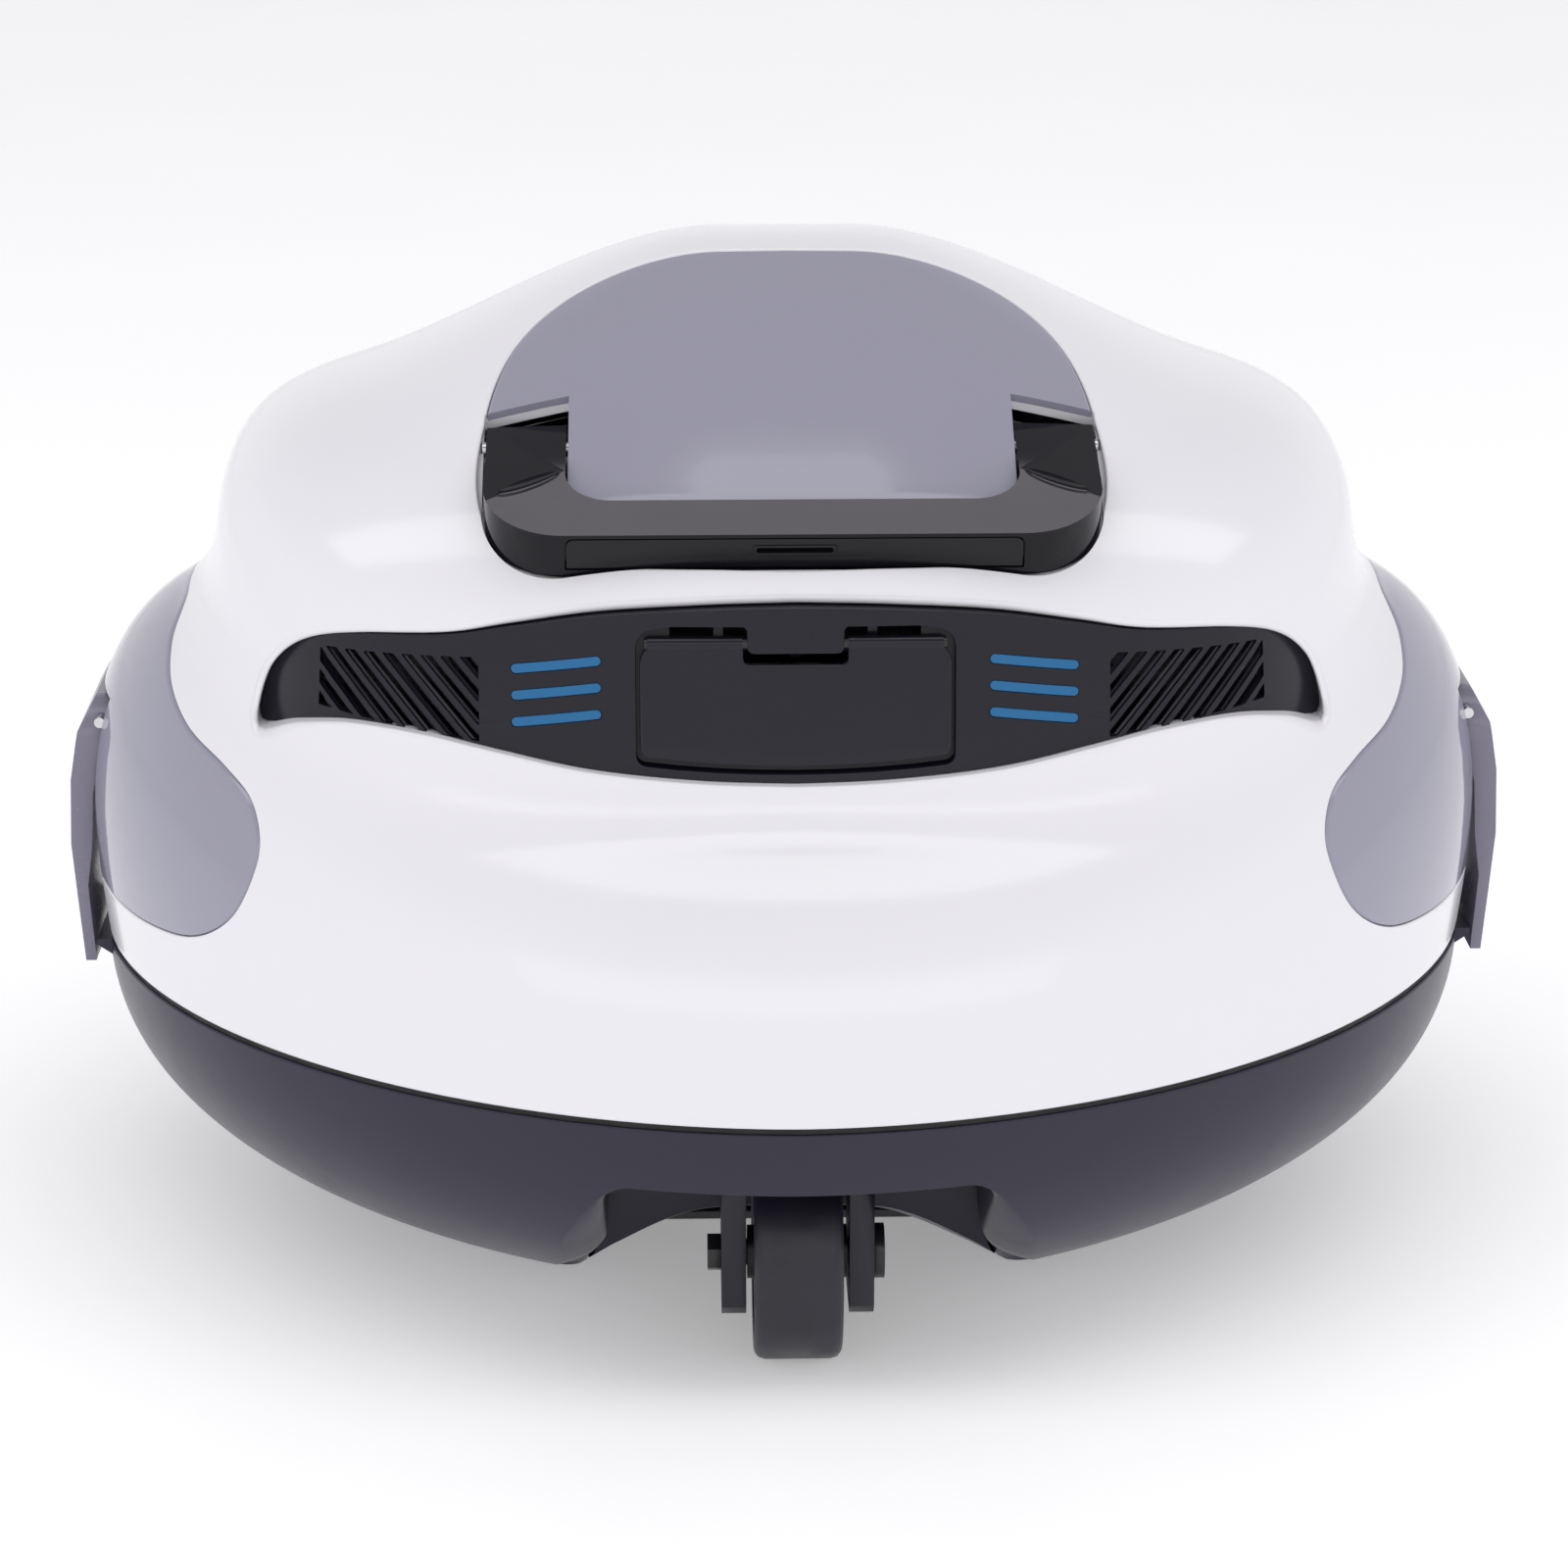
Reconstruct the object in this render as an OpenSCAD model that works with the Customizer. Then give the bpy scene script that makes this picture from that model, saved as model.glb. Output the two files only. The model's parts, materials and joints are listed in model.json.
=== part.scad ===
// Cordless robotic pool cleaner: domed body, carry handle on top, jet outlets front and rear.
// Millimetres, +Z up, front toward -Y, wheels stand on z = 0.

/* [Body] */
// height of the waist seam above the ground
seam_z = 78; // [76:1:82]
// half width of the body at the waist seam
waist_a = 193; // [191:1:195]
// half length of the body at the waist seam
waist_b = 173.5; // [172:0.5:176]
// wall thickness of the upper cover
cover_wall = 5.5; // [5:0.25:6]
// wall thickness of the lower hull
hull_wall = 3.5; // [3:0.25:4]
// lowest level of the hull underside
hull_floor = 5; // [4:0.5:6]

/* [Hood] */
// half width of the hood at its foot
hood_a = 162.5; // [160:0.5:164]
// half length of the hood at its foot
hood_b = 129.5; // [128:0.5:131]
// height of the hood shoulders
shoulder_z = 230; // [228:1:232]
// extra height of the middle hump
hump_rise = 43; // [41:1:45]

/* [Handle] */
// slope of the carry handle at rest
handle_angle = 22; // [21:1:23]
// thickness of the handle
handle_thick = 13; // [12:0.5:13]
// diameter of the handle pins
handle_pin_d = 4; // [3:0.5:4]

/* [Wheels] */
// diameter of the steering wheels at the front and rear
caster_d = 56; // [54:1:56]
// distance of the steering wheels from the middle
caster_y = 135; // [133:1:136]
// width of the steering wheel tyre
caster_width = 23; // [21:1:24]
// diameter of the side wheels
wheel_d = 60; // [58:1:62]
// distance of the side wheels from the middle
wheel_x = 104; // [102:1:105]

/* [Jets] */
// half width of the jet flap
flap_a = 39.6; // [38:0.2:40]
// diameter of the impeller
impeller_d = 58; // [54:1:60]

/* [Hidden] */

white = [0.93, 0.93, 0.95];
grey = [0.60, 0.60, 0.65];
black = [0.12, 0.12, 0.14];
charcoal = [0.21, 0.20, 0.25];
blue = [0.18, 0.45, 0.65];
metal = [0.72, 0.72, 0.74];
rubber = [0.09, 0.09, 0.10];
green = [0.20, 0.35, 0.30];
fit = 0.05;
gap = 0.3;
tiny = 0.01;
far = 260;

// ---------- body surface ----------

waist_power = 1.85;
swell = 0.023;
swell_height = 113;
crease_blend = 7;
brow_blend = 25;
hood_power = 2.6;
hood_lean = 0.16;
hood_foot_h = 82;
front_drop = 37;
front_drop_y = 123.5;
hump_inner_x = 17.6;
hump_outer_x = 149;
hump_fade = 0.72;
hull_depth = 84;

function clamp01(v) = max(0, min(1, v));
function ease(lo, hi, v) = let(t = clamp01((v - lo) / (hi - lo))) t * t * (3 - 2 * t);
function soft_min(p, q, k) =
  let(h = clamp01(0.5 + 0.5 * (q - p) / k)) q + (p - q) * h - k * h * (1 - h);
function soft_max(p, q, k) = -soft_min(-p, -q, k);
function plan_norm(x, y, a, b, n) = pow(pow(abs(x) / a, n) + pow(abs(y) / b, n), 1 / n);

// share of the sideways direction, 0 at the front and 1 at the side
function side_share(x, y) =
  let(u = pow(x / waist_a, 2), v = pow(y / waist_b, 2)) u / max(tiny * tiny, u + v);

// the dome that carries the hood; negative inside, inset by t
function deck_field(x, y, z, t) =
  let(
    h = max(0, z - seam_z),
    side = side_share(x, y),
    grow = 1 + swell * sin(180 * clamp01(h / swell_height)),
    r = plan_norm(x, y, waist_a * grow - t, waist_b - t, waist_power),
    p = 3 + 7 * side * side,
    q = 2.3 + 0.9 * side,
    top = 86 + 19 * side - t
  ) (pow(pow(r, p) + pow(h / top, q), 1 / p) - 1) * waist_a * 0.8;

function hood_top(x, y) =
  shoulder_z
  + hump_rise * (1 - ease(hump_inner_x, hump_outer_x, abs(x)))
    * (1 - hump_fade * ease(0, front_drop_y + 2, abs(y)))
  - front_drop * pow(abs(y) / front_drop_y, 2);

function hood_half_length(z, t) = hood_b - 0.8 * hood_lean * (z - seam_z - hood_foot_h) - t;
function hood_half_width(z, t) = hood_a - hood_lean * (z - seam_z - hood_foot_h) - t;

function hood_field(x, y, z, t) =
  soft_max(
    (plan_norm(x, y, hood_half_width(z, t), hood_half_length(z, t), hood_power) - 1) * hood_b,
    (z - hood_top(x, y) + t) * 0.93,
    brow_blend
  );

function upper_field(p, t) =
  soft_min(deck_field(p.x, p.y, p.z, t), hood_field(p.x, p.y, p.z, t), crease_blend);

function lower_field(p, t) =
  let(
    r = plan_norm(p.x, p.y, waist_a - t, waist_b - t, waist_power),
    g = pow(r, 2.5) + pow(max(0, seam_z - p.z) / (hull_depth - t), 1.9)
  ) soft_max((sqrt(g) - 1) * waist_a * 0.7, hull_floor + t - p.z, 8);

function field(p, t, up) = up > 0 ? upper_field(p, t) : lower_field(p, t);

// distance from the middle of the seam to the surface along direction d, by halving
function reach(d, t, up, lo = 30, hi = 330, n = 19) =
  let(m = (lo + hi) / 2)
  n == 0 ? m
  : field([0, 0, seam_z] + d * m, t, up) < 0 ? reach(d, t, up, m, hi, n - 1)
  : reach(d, t, up, lo, m, n - 1);

function surface_point(az, el, t, up) =
  let(d = [cos(el) * cos(az), cos(el) * sin(az), up * sin(el)])
  [0, 0, seam_z] + d * reach(d, t, up);

// height of the outer surface over a point in plan, by halving
function surface_z(x, y, lo = 120, hi = 300, n = 16) =
  let(m = (lo + hi) / 2)
  n == 0 ? m
  : upper_field([x, y, m], 0) < 0 ? surface_z(x, y, m, hi, n - 1)
  : surface_z(x, y, lo, m, n - 1);

// solid half of the body inset by t, closed flat at the seam, its rim carried past the seam by skirt
module half_body(t, up, columns, els, skirt) {
  rows = len(els);
  rim = [for (c = [0 : columns - 1])
    surface_point(360 * c / columns, 0, t, up) - [0, 0, up * skirt]];
  wall = [for (el = els) for (c = [0 : columns - 1]) surface_point(360 * c / columns, el, t, up)];
  pole = [surface_point(0, 90, t, up)];
  points = concat(rim, wall, pole);
  last = (rows + 1) * columns;
  bands = [for (r = [0 : rows - 1]) for (c = [0 : columns - 1])
    let(n = (c + 1) % columns, a = r * columns, b = a + columns)
    each [[a + c, b + n, a + n], [a + c, b + c, b + n]]];
  cap = [for (c = [0 : columns - 1]) [last - columns + c, last, last - columns + (c + 1) % columns]];
  base = [[for (c = [0 : columns - 1]) c]];
  faces = concat(bands, cap, base);
  polyhedron(points, up > 0 ? faces : [for (f = faces) [for (i = [len(f) - 1 : -1 : 0]) f[i]]]);
}

outer_els = [for (i = [0 : 19]) 3 * i, for (i = [0 : 4]) 60 + 6 * i];
inner_els = [for (i = [0 : 12]) 5 * i, for (i = [0 : 1]) 68 + 10 * i];
hull_els = [for (i = [0 : 12]) 6.5 * i];
hull_inner_els = [for (i = [0 : 9]) 8.5 * i];

module upper_outer() half_body(0, 1, 72, outer_els, tiny);
module upper_inset(t) half_body(t, 1, 40, inner_els, 5);
module upper_fine_inset(t) half_body(t, 1, 72, outer_els, 5);
module lower_outer() half_body(0, -1, 60, hull_els, tiny);
module lower_inset(t) half_body(t, -1, 40, hull_inner_els, 5);

// ---------- outlines ----------

// smooth curve through hand-picked points
function curve_at(p, q, r, s, t) =
  0.5 * (2 * q + (r - p) * t + (2 * p - 5 * q + 4 * r - s) * t * t
    + (3 * q - p - 3 * r + s) * t * t * t);
function curve(pts, steps) =
  let(n = len(pts))
  [for (i = [0 : n - 2]) for (k = [0 : steps - 1])
    curve_at(pts[max(0, i - 1)], pts[i], pts[i + 1], pts[min(n - 1, i + 2)], k / steps),
    pts[n - 1]];
function mirrored(pts) = concat(pts, [for (i = [len(pts) - 2 : -1 : 1]) [-pts[i].x, pts[i].y]]);

// window outline in plan, from the middle of its rear edge to the middle of its front edge
window_half = [
  [0, -18], [30, -19], [50, -22], [63, -28], [72, -38], [78, -54],
  [81, -76], [80.5, -90], [77, -99.5], [70, -106], [58, -109.8], [30, -113], [0, -114]
];
// fascia outline seen from the front, from its middle top to its middle bottom
fascia_half = [
  [0, 199], [24, 198.4], [50, 196.6], [72, 193], [88, 189.8], [112, 187], [126, 183],
  [135, 175.5], [139.5, 165], [139.5, 157.5], [129, 161.4], [114, 164.4], [95, 164],
  [76, 161.2], [52, 157.2], [24, 154.8], [0, 154]
];
// side panel outline seen from the side, front half, top middle to bottom middle
side_half = [
  [0, 176], [20, 174.5], [40, 167], [56, 159.5], [72, 152.6], [88, 147], [100, 140],
  [107.5, 128], [105.5, 112.5], [93, 102], [72, 98], [40, 96.6], [0, 96.4]
];

module window_outline(grow) offset(delta = grow) polygon(mirrored(curve(window_half, 2)));
module fascia_outline(grow) offset(delta = grow) polygon(mirrored(curve(fascia_half, 2)));
module side_outline(grow) offset(delta = grow) polygon(mirrored(curve(side_half, 2)));

// turned copy that faces the rear
module at_rear() rotate([0, 0, 180]) children();
module both_ends() {
  children();
  at_rear() children();
}
module both_sides() {
  children();
  mirror([1, 0, 0]) children();
}

module window_prism(grow) translate([0, 0, 150]) linear_extrude(150) window_outline(grow);
module fascia_prism(grow) translate([0, -90, 0]) rotate([90, 0, 0]) linear_extrude(80) fascia_outline(grow);
module side_prism(grow) translate([120, 0, 0]) rotate([90, 0, 90]) linear_extrude(100) side_outline(grow);

// ---------- handle geometry ----------

handle_pivot = [-70.4, 228];
arm_inner_x = 58.5;
arm_outer_x = 79.4;
// the handle lies in a plane through the pivot line; u runs along it away from the pivot
bar_inner_u = 31.5;
bar_outer_u = 46.5;
handle_half = handle_thick / 2;
pocket_back = 10.5;

module in_handle_plane() translate([0, handle_pivot.x, handle_pivot.y]) rotate([handle_angle, 0, 0]) children();

// U outline of the handle: arms at both sides, bar in front
module handle_outline(grow, back) {
  difference() {
    offset(r = grow) difference() {
      intersection() {
        translate([-arm_outer_x, -bar_outer_u]) square([2 * arm_outer_x, bar_outer_u + back]);
        union() {
          translate([-arm_outer_x, -24]) square([2 * arm_outer_x, 24 + back]);
          both_sides() translate([arm_outer_x - 21, -bar_outer_u + 21]) circle(21, $fn = 48);
          translate([21 - arm_outer_x, -bar_outer_u]) square([2 * (arm_outer_x - 21), 24]);
        }
      }
      handle_opening(back + 10);
    }
  }
}

// the space between the arms
module handle_opening(back) hull() {
  both_sides() translate([arm_inner_x - 12, 12 - bar_inner_u]) circle(12, $fn = 32);
  translate([-arm_inner_x, 0]) square([2 * arm_inner_x, back]);
}

// everything of the window that the handle and its arms take away
module handle_bay() in_handle_plane() {
  translate([0, 0, -30]) linear_extrude(90) difference() {
    translate([-120, -80]) square([240, 80 + pocket_back]);
    offset(delta = -0.6) handle_opening(pocket_back + 10);
  }
  // the front edge of the window is round about the pivot line, so that the bar swings clear of it
  difference() {
    translate([-120, -80, -30]) cube([240, 80, 90]);
    rotate([0, 90, 0]) rotate_extrude($fn = 96) intersection() {
      rotate([0, 0, 90]) offset(delta = -0.6) handle_opening(0);
      translate([0, -70]) square([60, 140]);
    }
    translate([-120, -8, -30]) cube([240, 8.1, 90]);
  }
}

module handle_pocket() in_handle_plane() {
  translate([0, 0, -handle_half - 1]) linear_extrude(60) handle_outline(0.6, pocket_back);
  // room for the lower corners of the bar as it starts to rise
  for (swing = [6, 12, 18])
    rotate([-swing, 0, 0]) translate([0, 0, -handle_half]) linear_extrude(60) handle_outline(0.6, 0);
}
module handle_tub() {
  in_handle_plane()
    translate([0, 0, -handle_half - 4]) linear_extrude(60) handle_outline(4, pocket_back);
}
module handle_pin_line(r, x0, x1)
  both_sides() translate([x0, handle_pivot.x, handle_pivot.y]) rotate([0, 90, 0]) cylinder(x1 - x0, r = r, $fn = 32);

// ---------- latch geometry ----------

latch_half = 27;
latch_top_z = 147;
latch_low_z = 69;
latch_pin = [190, 141];
latch_face = 200;
latch_well_face = 183;

module latch_well(grow)
  translate([latch_well_face, -latch_half - grow, 60]) cube([40, 2 * (latch_half + grow), latch_top_z + grow - 60]);

// ---------- upper cover ----------

button_plan = [24, 62];
socket_plan = [-24, 62];
rear_slope = 27;
module on_rear_slope(plan)
  translate([plan.x, plan.y, surface_z(plan.x, plan.y)]) rotate([-rear_slope, 0, 0]) children();

module top_cover() color(white)
  resize([0, 0, 0]) difference() {
    union() {
      difference() {
        upper_outer();
        upper_inset(cover_wall);
      }
      intersection() {
        upper_outer();
        union() {
          handle_tub();
          both_sides() translate([latch_well_face - 4, -latch_half - 4, seam_z])
            cube([40, 2 * latch_half + 8, latch_top_z + 4 - seam_z]);
        }
      }
    }
    difference() {
      union() {
        window_prism(gap);
        both_sides() side_prism(gap);
      }
      upper_fine_inset(2.8);
    }
    handle_pocket();
    handle_pin_line(handle_pin_d / 2 + fit, arm_inner_x - 6, arm_outer_x + 2.5);
    both_ends() fascia_prism(0);
    both_sides() latch_well(1);
    on_rear_slope(button_plan) translate([0, 0, -12]) cylinder(30, r = 12.2, $fn = 48);
    on_rear_slope(socket_plan) translate([0, 0, -16]) cylinder(40, r = 13.2, $fn = 48);
  }

module top_window() color(grey)
  resize([0, 0, 0]) difference() {
    intersection() {
      upper_outer();
      window_prism(0);
    }
    upper_fine_inset(2.5);
    handle_bay();
  }

module side_panel() color(grey)
  resize([0, 0, 0]) difference() {
    intersection() {
      upper_outer();
      side_prism(0);
    }
    upper_fine_inset(2.5);
    latch_well(1);
  }
module side_panel_right() side_panel();
module side_panel_left() mirror([1, 0, 0]) side_panel();

// ---------- jet fascia ----------

fascia_face = 3;
fascia_back = 9;
wall_low_z = 146;
wall_high_z = 206;
flap_low_z = 158;
flap_high_z = 191.4;
flap_pin_z = 189.4;
flap_thick = 3;
grille_inner_x = 80.5;
grille_outer_x = 123;

// curved wall parallel to the front of the hood, between two insets
module fascia_wall(front, back) {
  spans = 22;
  reach_deg = 78;
  function foot(i, z, t) =
    let(
      az = -90 - reach_deg + 2 * reach_deg * i / spans,
      a = hood_half_width(z, t),
      b = hood_half_length(z, t),
      r = 1 / plan_norm(cos(az), sin(az), a, b, hood_power)
    ) [r * cos(az), r * sin(az), z];
  levels = [[wall_low_z, front], [wall_high_z, front], [wall_high_z, back], [wall_low_z, back]];
  points = [for (level = levels) for (i = [0 : spans]) foot(i, level[0], level[1])];
  n = spans + 1;
  sides = [for (k = [0 : 3]) for (i = [0 : spans - 1])
    let(a = k * n + i, b = ((k + 1) % 4) * n + i) each [[a, b, b + 1], [a, b + 1, a + 1]]];
  ends = [[0, 3 * n, 2 * n, n], [spans, spans + n, spans + 2 * n, spans + 3 * n]];
  polyhedron(points, concat(sides, ends));
}

module grille_slots() {
  pitch = 3.8;
  slot = 2.4;
  both_sides() intersection() {
    translate([0, -70, 0]) rotate([90, 0, 0]) linear_extrude(100)
      polygon([[grille_inner_x, 162.5], [grille_inner_x, 184.5], [grille_outer_x, 182], [grille_outer_x, 167]]);
    for (i = [-7 : 7])
      translate([(grille_inner_x + grille_outer_x) / 2 + i * pitch * sqrt(2), 0, 174])
        rotate([0, -45, 0]) cube([40, 2 * far, slot], center = true);
  }
}

module fascia() color(black)
  resize([0, 0, 0]) difference() {
    intersection() {
      fascia_wall(fascia_face, fascia_back);
      fascia_prism(-0.25);
    }
    // recess and mouth of the jet outlet
    intersection() {
      fascia_wall(0, fascia_face + 4.2);
      translate([-flap_a - 1, -200, flap_low_z - 1.6]) cube([2 * flap_a + 2, 120, 37.6]);
    }
    translate([-34, -200, flap_low_z + 4]) cube([68, 120, 23]);
    flap_pin_line(1.55, -flap_a - 4, flap_a + 4);
    grille_slots();
    light_bar_line(0.1);
  }
module front_fascia() fascia();
module rear_fascia() at_rear() fascia();

function fascia_y(z, t) = -hood_half_length(z, t);
fascia_tilt = atan(0.8 * hood_lean);
flap_y = fascia_y(flap_pin_z, fascia_face + 1.9);

module flap_pin_line(r, x0, x1)
  translate([x0, flap_y, flap_pin_z]) rotate([0, 90, 0]) cylinder(x1 - x0, r = r, $fn = 32);

bar_x = 60.9;
bar_turn = 10.3;
bar_tilt = 7.5;
bar_reach = 10.4;
bar_r = 1.2;
bar_pitch = 6.8;
bar_mid_z = 176.7;

// three slanting bars a side, set flush in the curved wall
module light_bar_line(grow)
  both_sides() for (i = [-1 : 1])
    translate([bar_x, fascia_bar_y(bar_mid_z + bar_pitch * i), bar_mid_z + bar_pitch * i])
      rotate([0, 0, bar_turn]) rotate([0, bar_tilt, 0]) {
        translate([-bar_reach, -0.4, -bar_r - grow]) cube([2 * bar_reach, 4, 2 * (bar_r + grow)]);
        for (end = [-1, 1]) translate([bar_reach * end, 3.6, 0]) rotate([90, 0, 0])
          cylinder(4, r = bar_r + grow, $fn = 24);
      }
function fascia_bar_y(z) =
  let(a = hood_half_width(z, fascia_face), b = hood_half_length(z, fascia_face))
  -b * pow(1 - pow(bar_x / a, hood_power), 1 / hood_power);

module light_bars() color(blue) light_bar_line(0);
module front_light_bars() light_bars();
module rear_light_bars() at_rear() light_bars();

// outlet door, hung from a pin along its top edge
module flap() color(black)
  difference() {
    translate([0, flap_y, flap_pin_z]) rotate([-fascia_tilt, 0, 0]) union() {
      difference() {
        translate([-flap_a, -flap_thick / 2, flap_low_z - flap_pin_z])
          cube([2 * flap_a, flap_thick, flap_high_z - flap_low_z - 2]);
        translate([-13.3, -10, -5.2]) cube([26.6, 20, 20]);
      }
      for (x = [-flap_a, 13.3]) translate([x, 0, 0]) rotate([0, 90, 0])
        cylinder(flap_a - 13.3, r = 2.2, $fn = 32);
    }
    flap_pin_line(1.5 + fit, -flap_a - 1, flap_a + 1);
  }
module front_flap() flap();
module rear_flap() at_rear() flap();
module flap_pin() color(metal) flap_pin_line(1.5, -flap_a - 3, flap_a + 3);
module front_flap_pin() flap_pin();
module rear_flap_pin() at_rear() flap_pin();

// ---------- handle ----------

grip_half = 58;
grip_low_w = -4;
crease_u = 18.4;
crease_turn = -32.7;
crease_fall = 8.1;
module handle_bar() color(black)
  difference() {
    in_handle_plane() difference() {
      union() {
        difference() {
          translate([0, 0, -handle_half]) linear_extrude(handle_thick) handle_outline(0, 0);
          grip_recess(0.05);
        }
        both_sides() translate([arm_inner_x, 0, 0]) rotate([0, 90, 0])
          cylinder(arm_outer_x - arm_inner_x, r = handle_half, $fn = 64);
      }
      // the arms fall away outward and rearward behind a slanting crease with a shallow scoop in it
      both_sides() translate([arm_inner_x, -crease_u, handle_half]) rotate([0, 0, crease_turn]) {
        rotate([-crease_fall, 0, 0]) translate([-60, 0, 0]) cube([120, 80, 30]);
        translate([10, 0, 0]) scale([1, 0.24, 0.14]) sphere(11, $fn = 32);
      }
    }
    handle_pin_line(handle_pin_d / 2 + fit, arm_inner_x - 1, arm_outer_x + 1);
  }
module grip_recess(grow)
  translate([-grip_half - grow, -bar_outer_u - 1, grip_low_w - grow])
    cube([2 * (grip_half + grow), 3 + grow, 9 + 2 * grow]);
module handle_grip() color(rubber)
  in_handle_plane() difference() {
    translate([-grip_half, -bar_outer_u, grip_low_w]) cube([2 * grip_half, 2, 9]);
    translate([-9.8, -bar_outer_u - 1, 1]) cube([19.6, 1.8, 1.4]);
  }
module handle_pins() color(metal) handle_pin_line(handle_pin_d / 2, arm_inner_x - 5, arm_outer_x + 2);

// ---------- latches ----------

// outline in section: bowed lever, pivot near its top, hook at its foot
latch_section = [
  [187.5, 146], [192, 146.2], [196.5, 138], [199, 124], [200, 105], [199, 88], [197.8, 69.4],
  [194.9, 69.4], [195, 73.6], [195.4, 80], [196, 92], [194.2, 104], [193, 120], [190.6, 131], [187, 137]
];
latch_corner = 12;
module latch() color(grey)
  difference() {
    intersection() {
      translate([0, latch_half, 0]) rotate([90, 0, 0]) linear_extrude(2 * latch_half) polygon(latch_section);
      // seen from the side the lever has round upper corners and tapers to its foot
      translate([150, 0, 0]) rotate([90, 0, 90]) linear_extrude(80) union() {
        for (side = [-1, 1]) translate([side * (latch_half - latch_corner), latch_top_z - 1 - latch_corner])
          circle(latch_corner, $fn = 48);
        translate([latch_corner - latch_half, latch_top_z - 21]) square([2 * (latch_half - latch_corner), 20]);
        polygon([
          [-latch_half, latch_top_z - 13], [-latch_half + 4, latch_low_z], [latch_half - 4, latch_low_z],
          [latch_half, latch_top_z - 13]
        ]);
      }
    }
    latch_pin_line(1.5 + fit, latch_half + 1);
  }
module latch_right() latch();
module latch_left() mirror([1, 0, 0]) latch();
module latch_pin_line(r, half)
  translate([latch_pin.x, half, latch_pin.y]) rotate([90, 0, 0]) cylinder(2 * half, r = r, $fn = 32);
module latch_pins() color(metal) both_sides() latch_pin_line(1.5, latch_half + 0.9);

// ---------- controls ----------

module power_button() color(grey)
  on_rear_slope(button_plan) union() {
    translate([0, 0, -3.5]) cylinder(5, r = 8.5, $fn = 48);
    translate([0, 0, -6]) cylinder(3, r = 6, $fn = 48);
  }
module button_bezel() color(black)
  on_rear_slope(button_plan) difference() {
    translate([0, 0, -10]) cylinder(11, r = 12, $fn = 48);
    translate([0, 0, -8]) cylinder(20, r = 8.8, $fn = 48);
  }
module charge_socket() color(black)
  on_rear_slope(socket_plan) difference() {
    translate([0, 0, -14]) cylinder(13, r = 13, $fn = 48);
    translate([0, 0, -11]) cylinder(20, r = 7, $fn = 48);
  }
cap_hinge = [14.5, 1.3];
module charge_cap() color(rubber)
  on_rear_slope(socket_plan) union() {
    translate([0, 0, -0.7]) cylinder(3, r = 12.4, $fn = 48);
    translate([0, 0, -6]) cylinder(6, r = 6, $fn = 48);
    translate([-4, 9, -0.7]) cube([8, 5.5, 2.6]);
    translate([-4, cap_hinge.x, cap_hinge.y]) rotate([0, 90, 0]) cylinder(8, r = 1.2, $fn = 32);
  }

base_low_z = 84;
base_thick = 4;
screw_ring = [for (s = [[1, 1], [-1, 1], [1, -1], [-1, -1]]) [s.x * 118, s.y * 104]];
module cover_screws() color(metal)
  for (p = screw_ring) translate([p.x, p.y, base_low_z - 2]) union() {
    cylinder(2, r = 3.6, $fn = 32);
    cylinder(10, r = 1.9, $fn = 32);
  }

// ---------- pump ----------

module waist_plan(t, segments = 72)
  polygon([for (i = [0 : segments - 1])
    let(az = 360 * i / segments, r = 1 / plan_norm(cos(az), sin(az), waist_a - t, waist_b - t, waist_power))
    [r * cos(az), r * sin(az)]]);

inlet_r = 33;
housing_r = 39;
duct_low_z = 150;
duct_high_z = 189;
duct_half = 38;
duct_wall = 3;
duct_end = 114.5;
base_top_z = base_low_z + base_thick;

module pump_base() color(charcoal)
  difference() {
    translate([0, 0, base_low_z]) linear_extrude(base_thick) waist_plan(cover_wall + 1.8);
    translate([0, 0, base_low_z - 1]) cylinder(10, r = inlet_r, $fn = 64);
    for (p = screw_ring) translate([p.x, p.y, base_low_z - 1]) cylinder(10, r = 2.1, $fn = 32);
    both_sides() translate([latch_well_face - 6, -latch_half - 6, base_low_z - 1]) cube([40, 2 * latch_half + 12, 10]);
  }

module inlet_grille() color(black)
  translate([0, 0, base_low_z - 3]) difference() {
    cylinder(2.9, r = inlet_r + 5, $fn = 64);
    for (ring = [[7, 12], [15, 20], [23, 28]])
      translate([0, 0, -1]) difference() {
        cylinder(5, r = ring[1], $fn = 64);
        translate([0, 0, -1]) cylinder(7, r = ring[0], $fn = 64);
        for (a = [0 : 60 : 120]) rotate([0, 0, a]) translate([-30, -1.5, -1]) cube([60, 3, 8]);
      }
  }

module pump_housing() color(charcoal)
  translate([0, 0, base_top_z]) difference() {
    union() {
      cylinder(duct_low_z - base_top_z, r = housing_r - 3, $fn = 96);
      cylinder(4, r = housing_r + 5, $fn = 96);
    }
    translate([0, 0, -1]) cylinder(80, r = inlet_r - 0.5, $fn = 96);
  }

module jet_duct() color(black)
  difference() {
    translate([-duct_half, -duct_end, duct_low_z]) cube([2 * duct_half, 2 * duct_end, duct_high_z - duct_low_z]);
    translate([duct_wall - duct_half, -duct_end - 1, duct_low_z + duct_wall])
      cube([2 * (duct_half - duct_wall), 2 * duct_end + 2, duct_high_z - duct_low_z - 2 * duct_wall]);
    translate([0, 0, duct_low_z - 1]) cylinder(8, r = inlet_r - 1, $fn = 96);
    translate([0, 0, duct_high_z - 8]) cylinder(20, r = 7, $fn = 48);
  }

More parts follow.
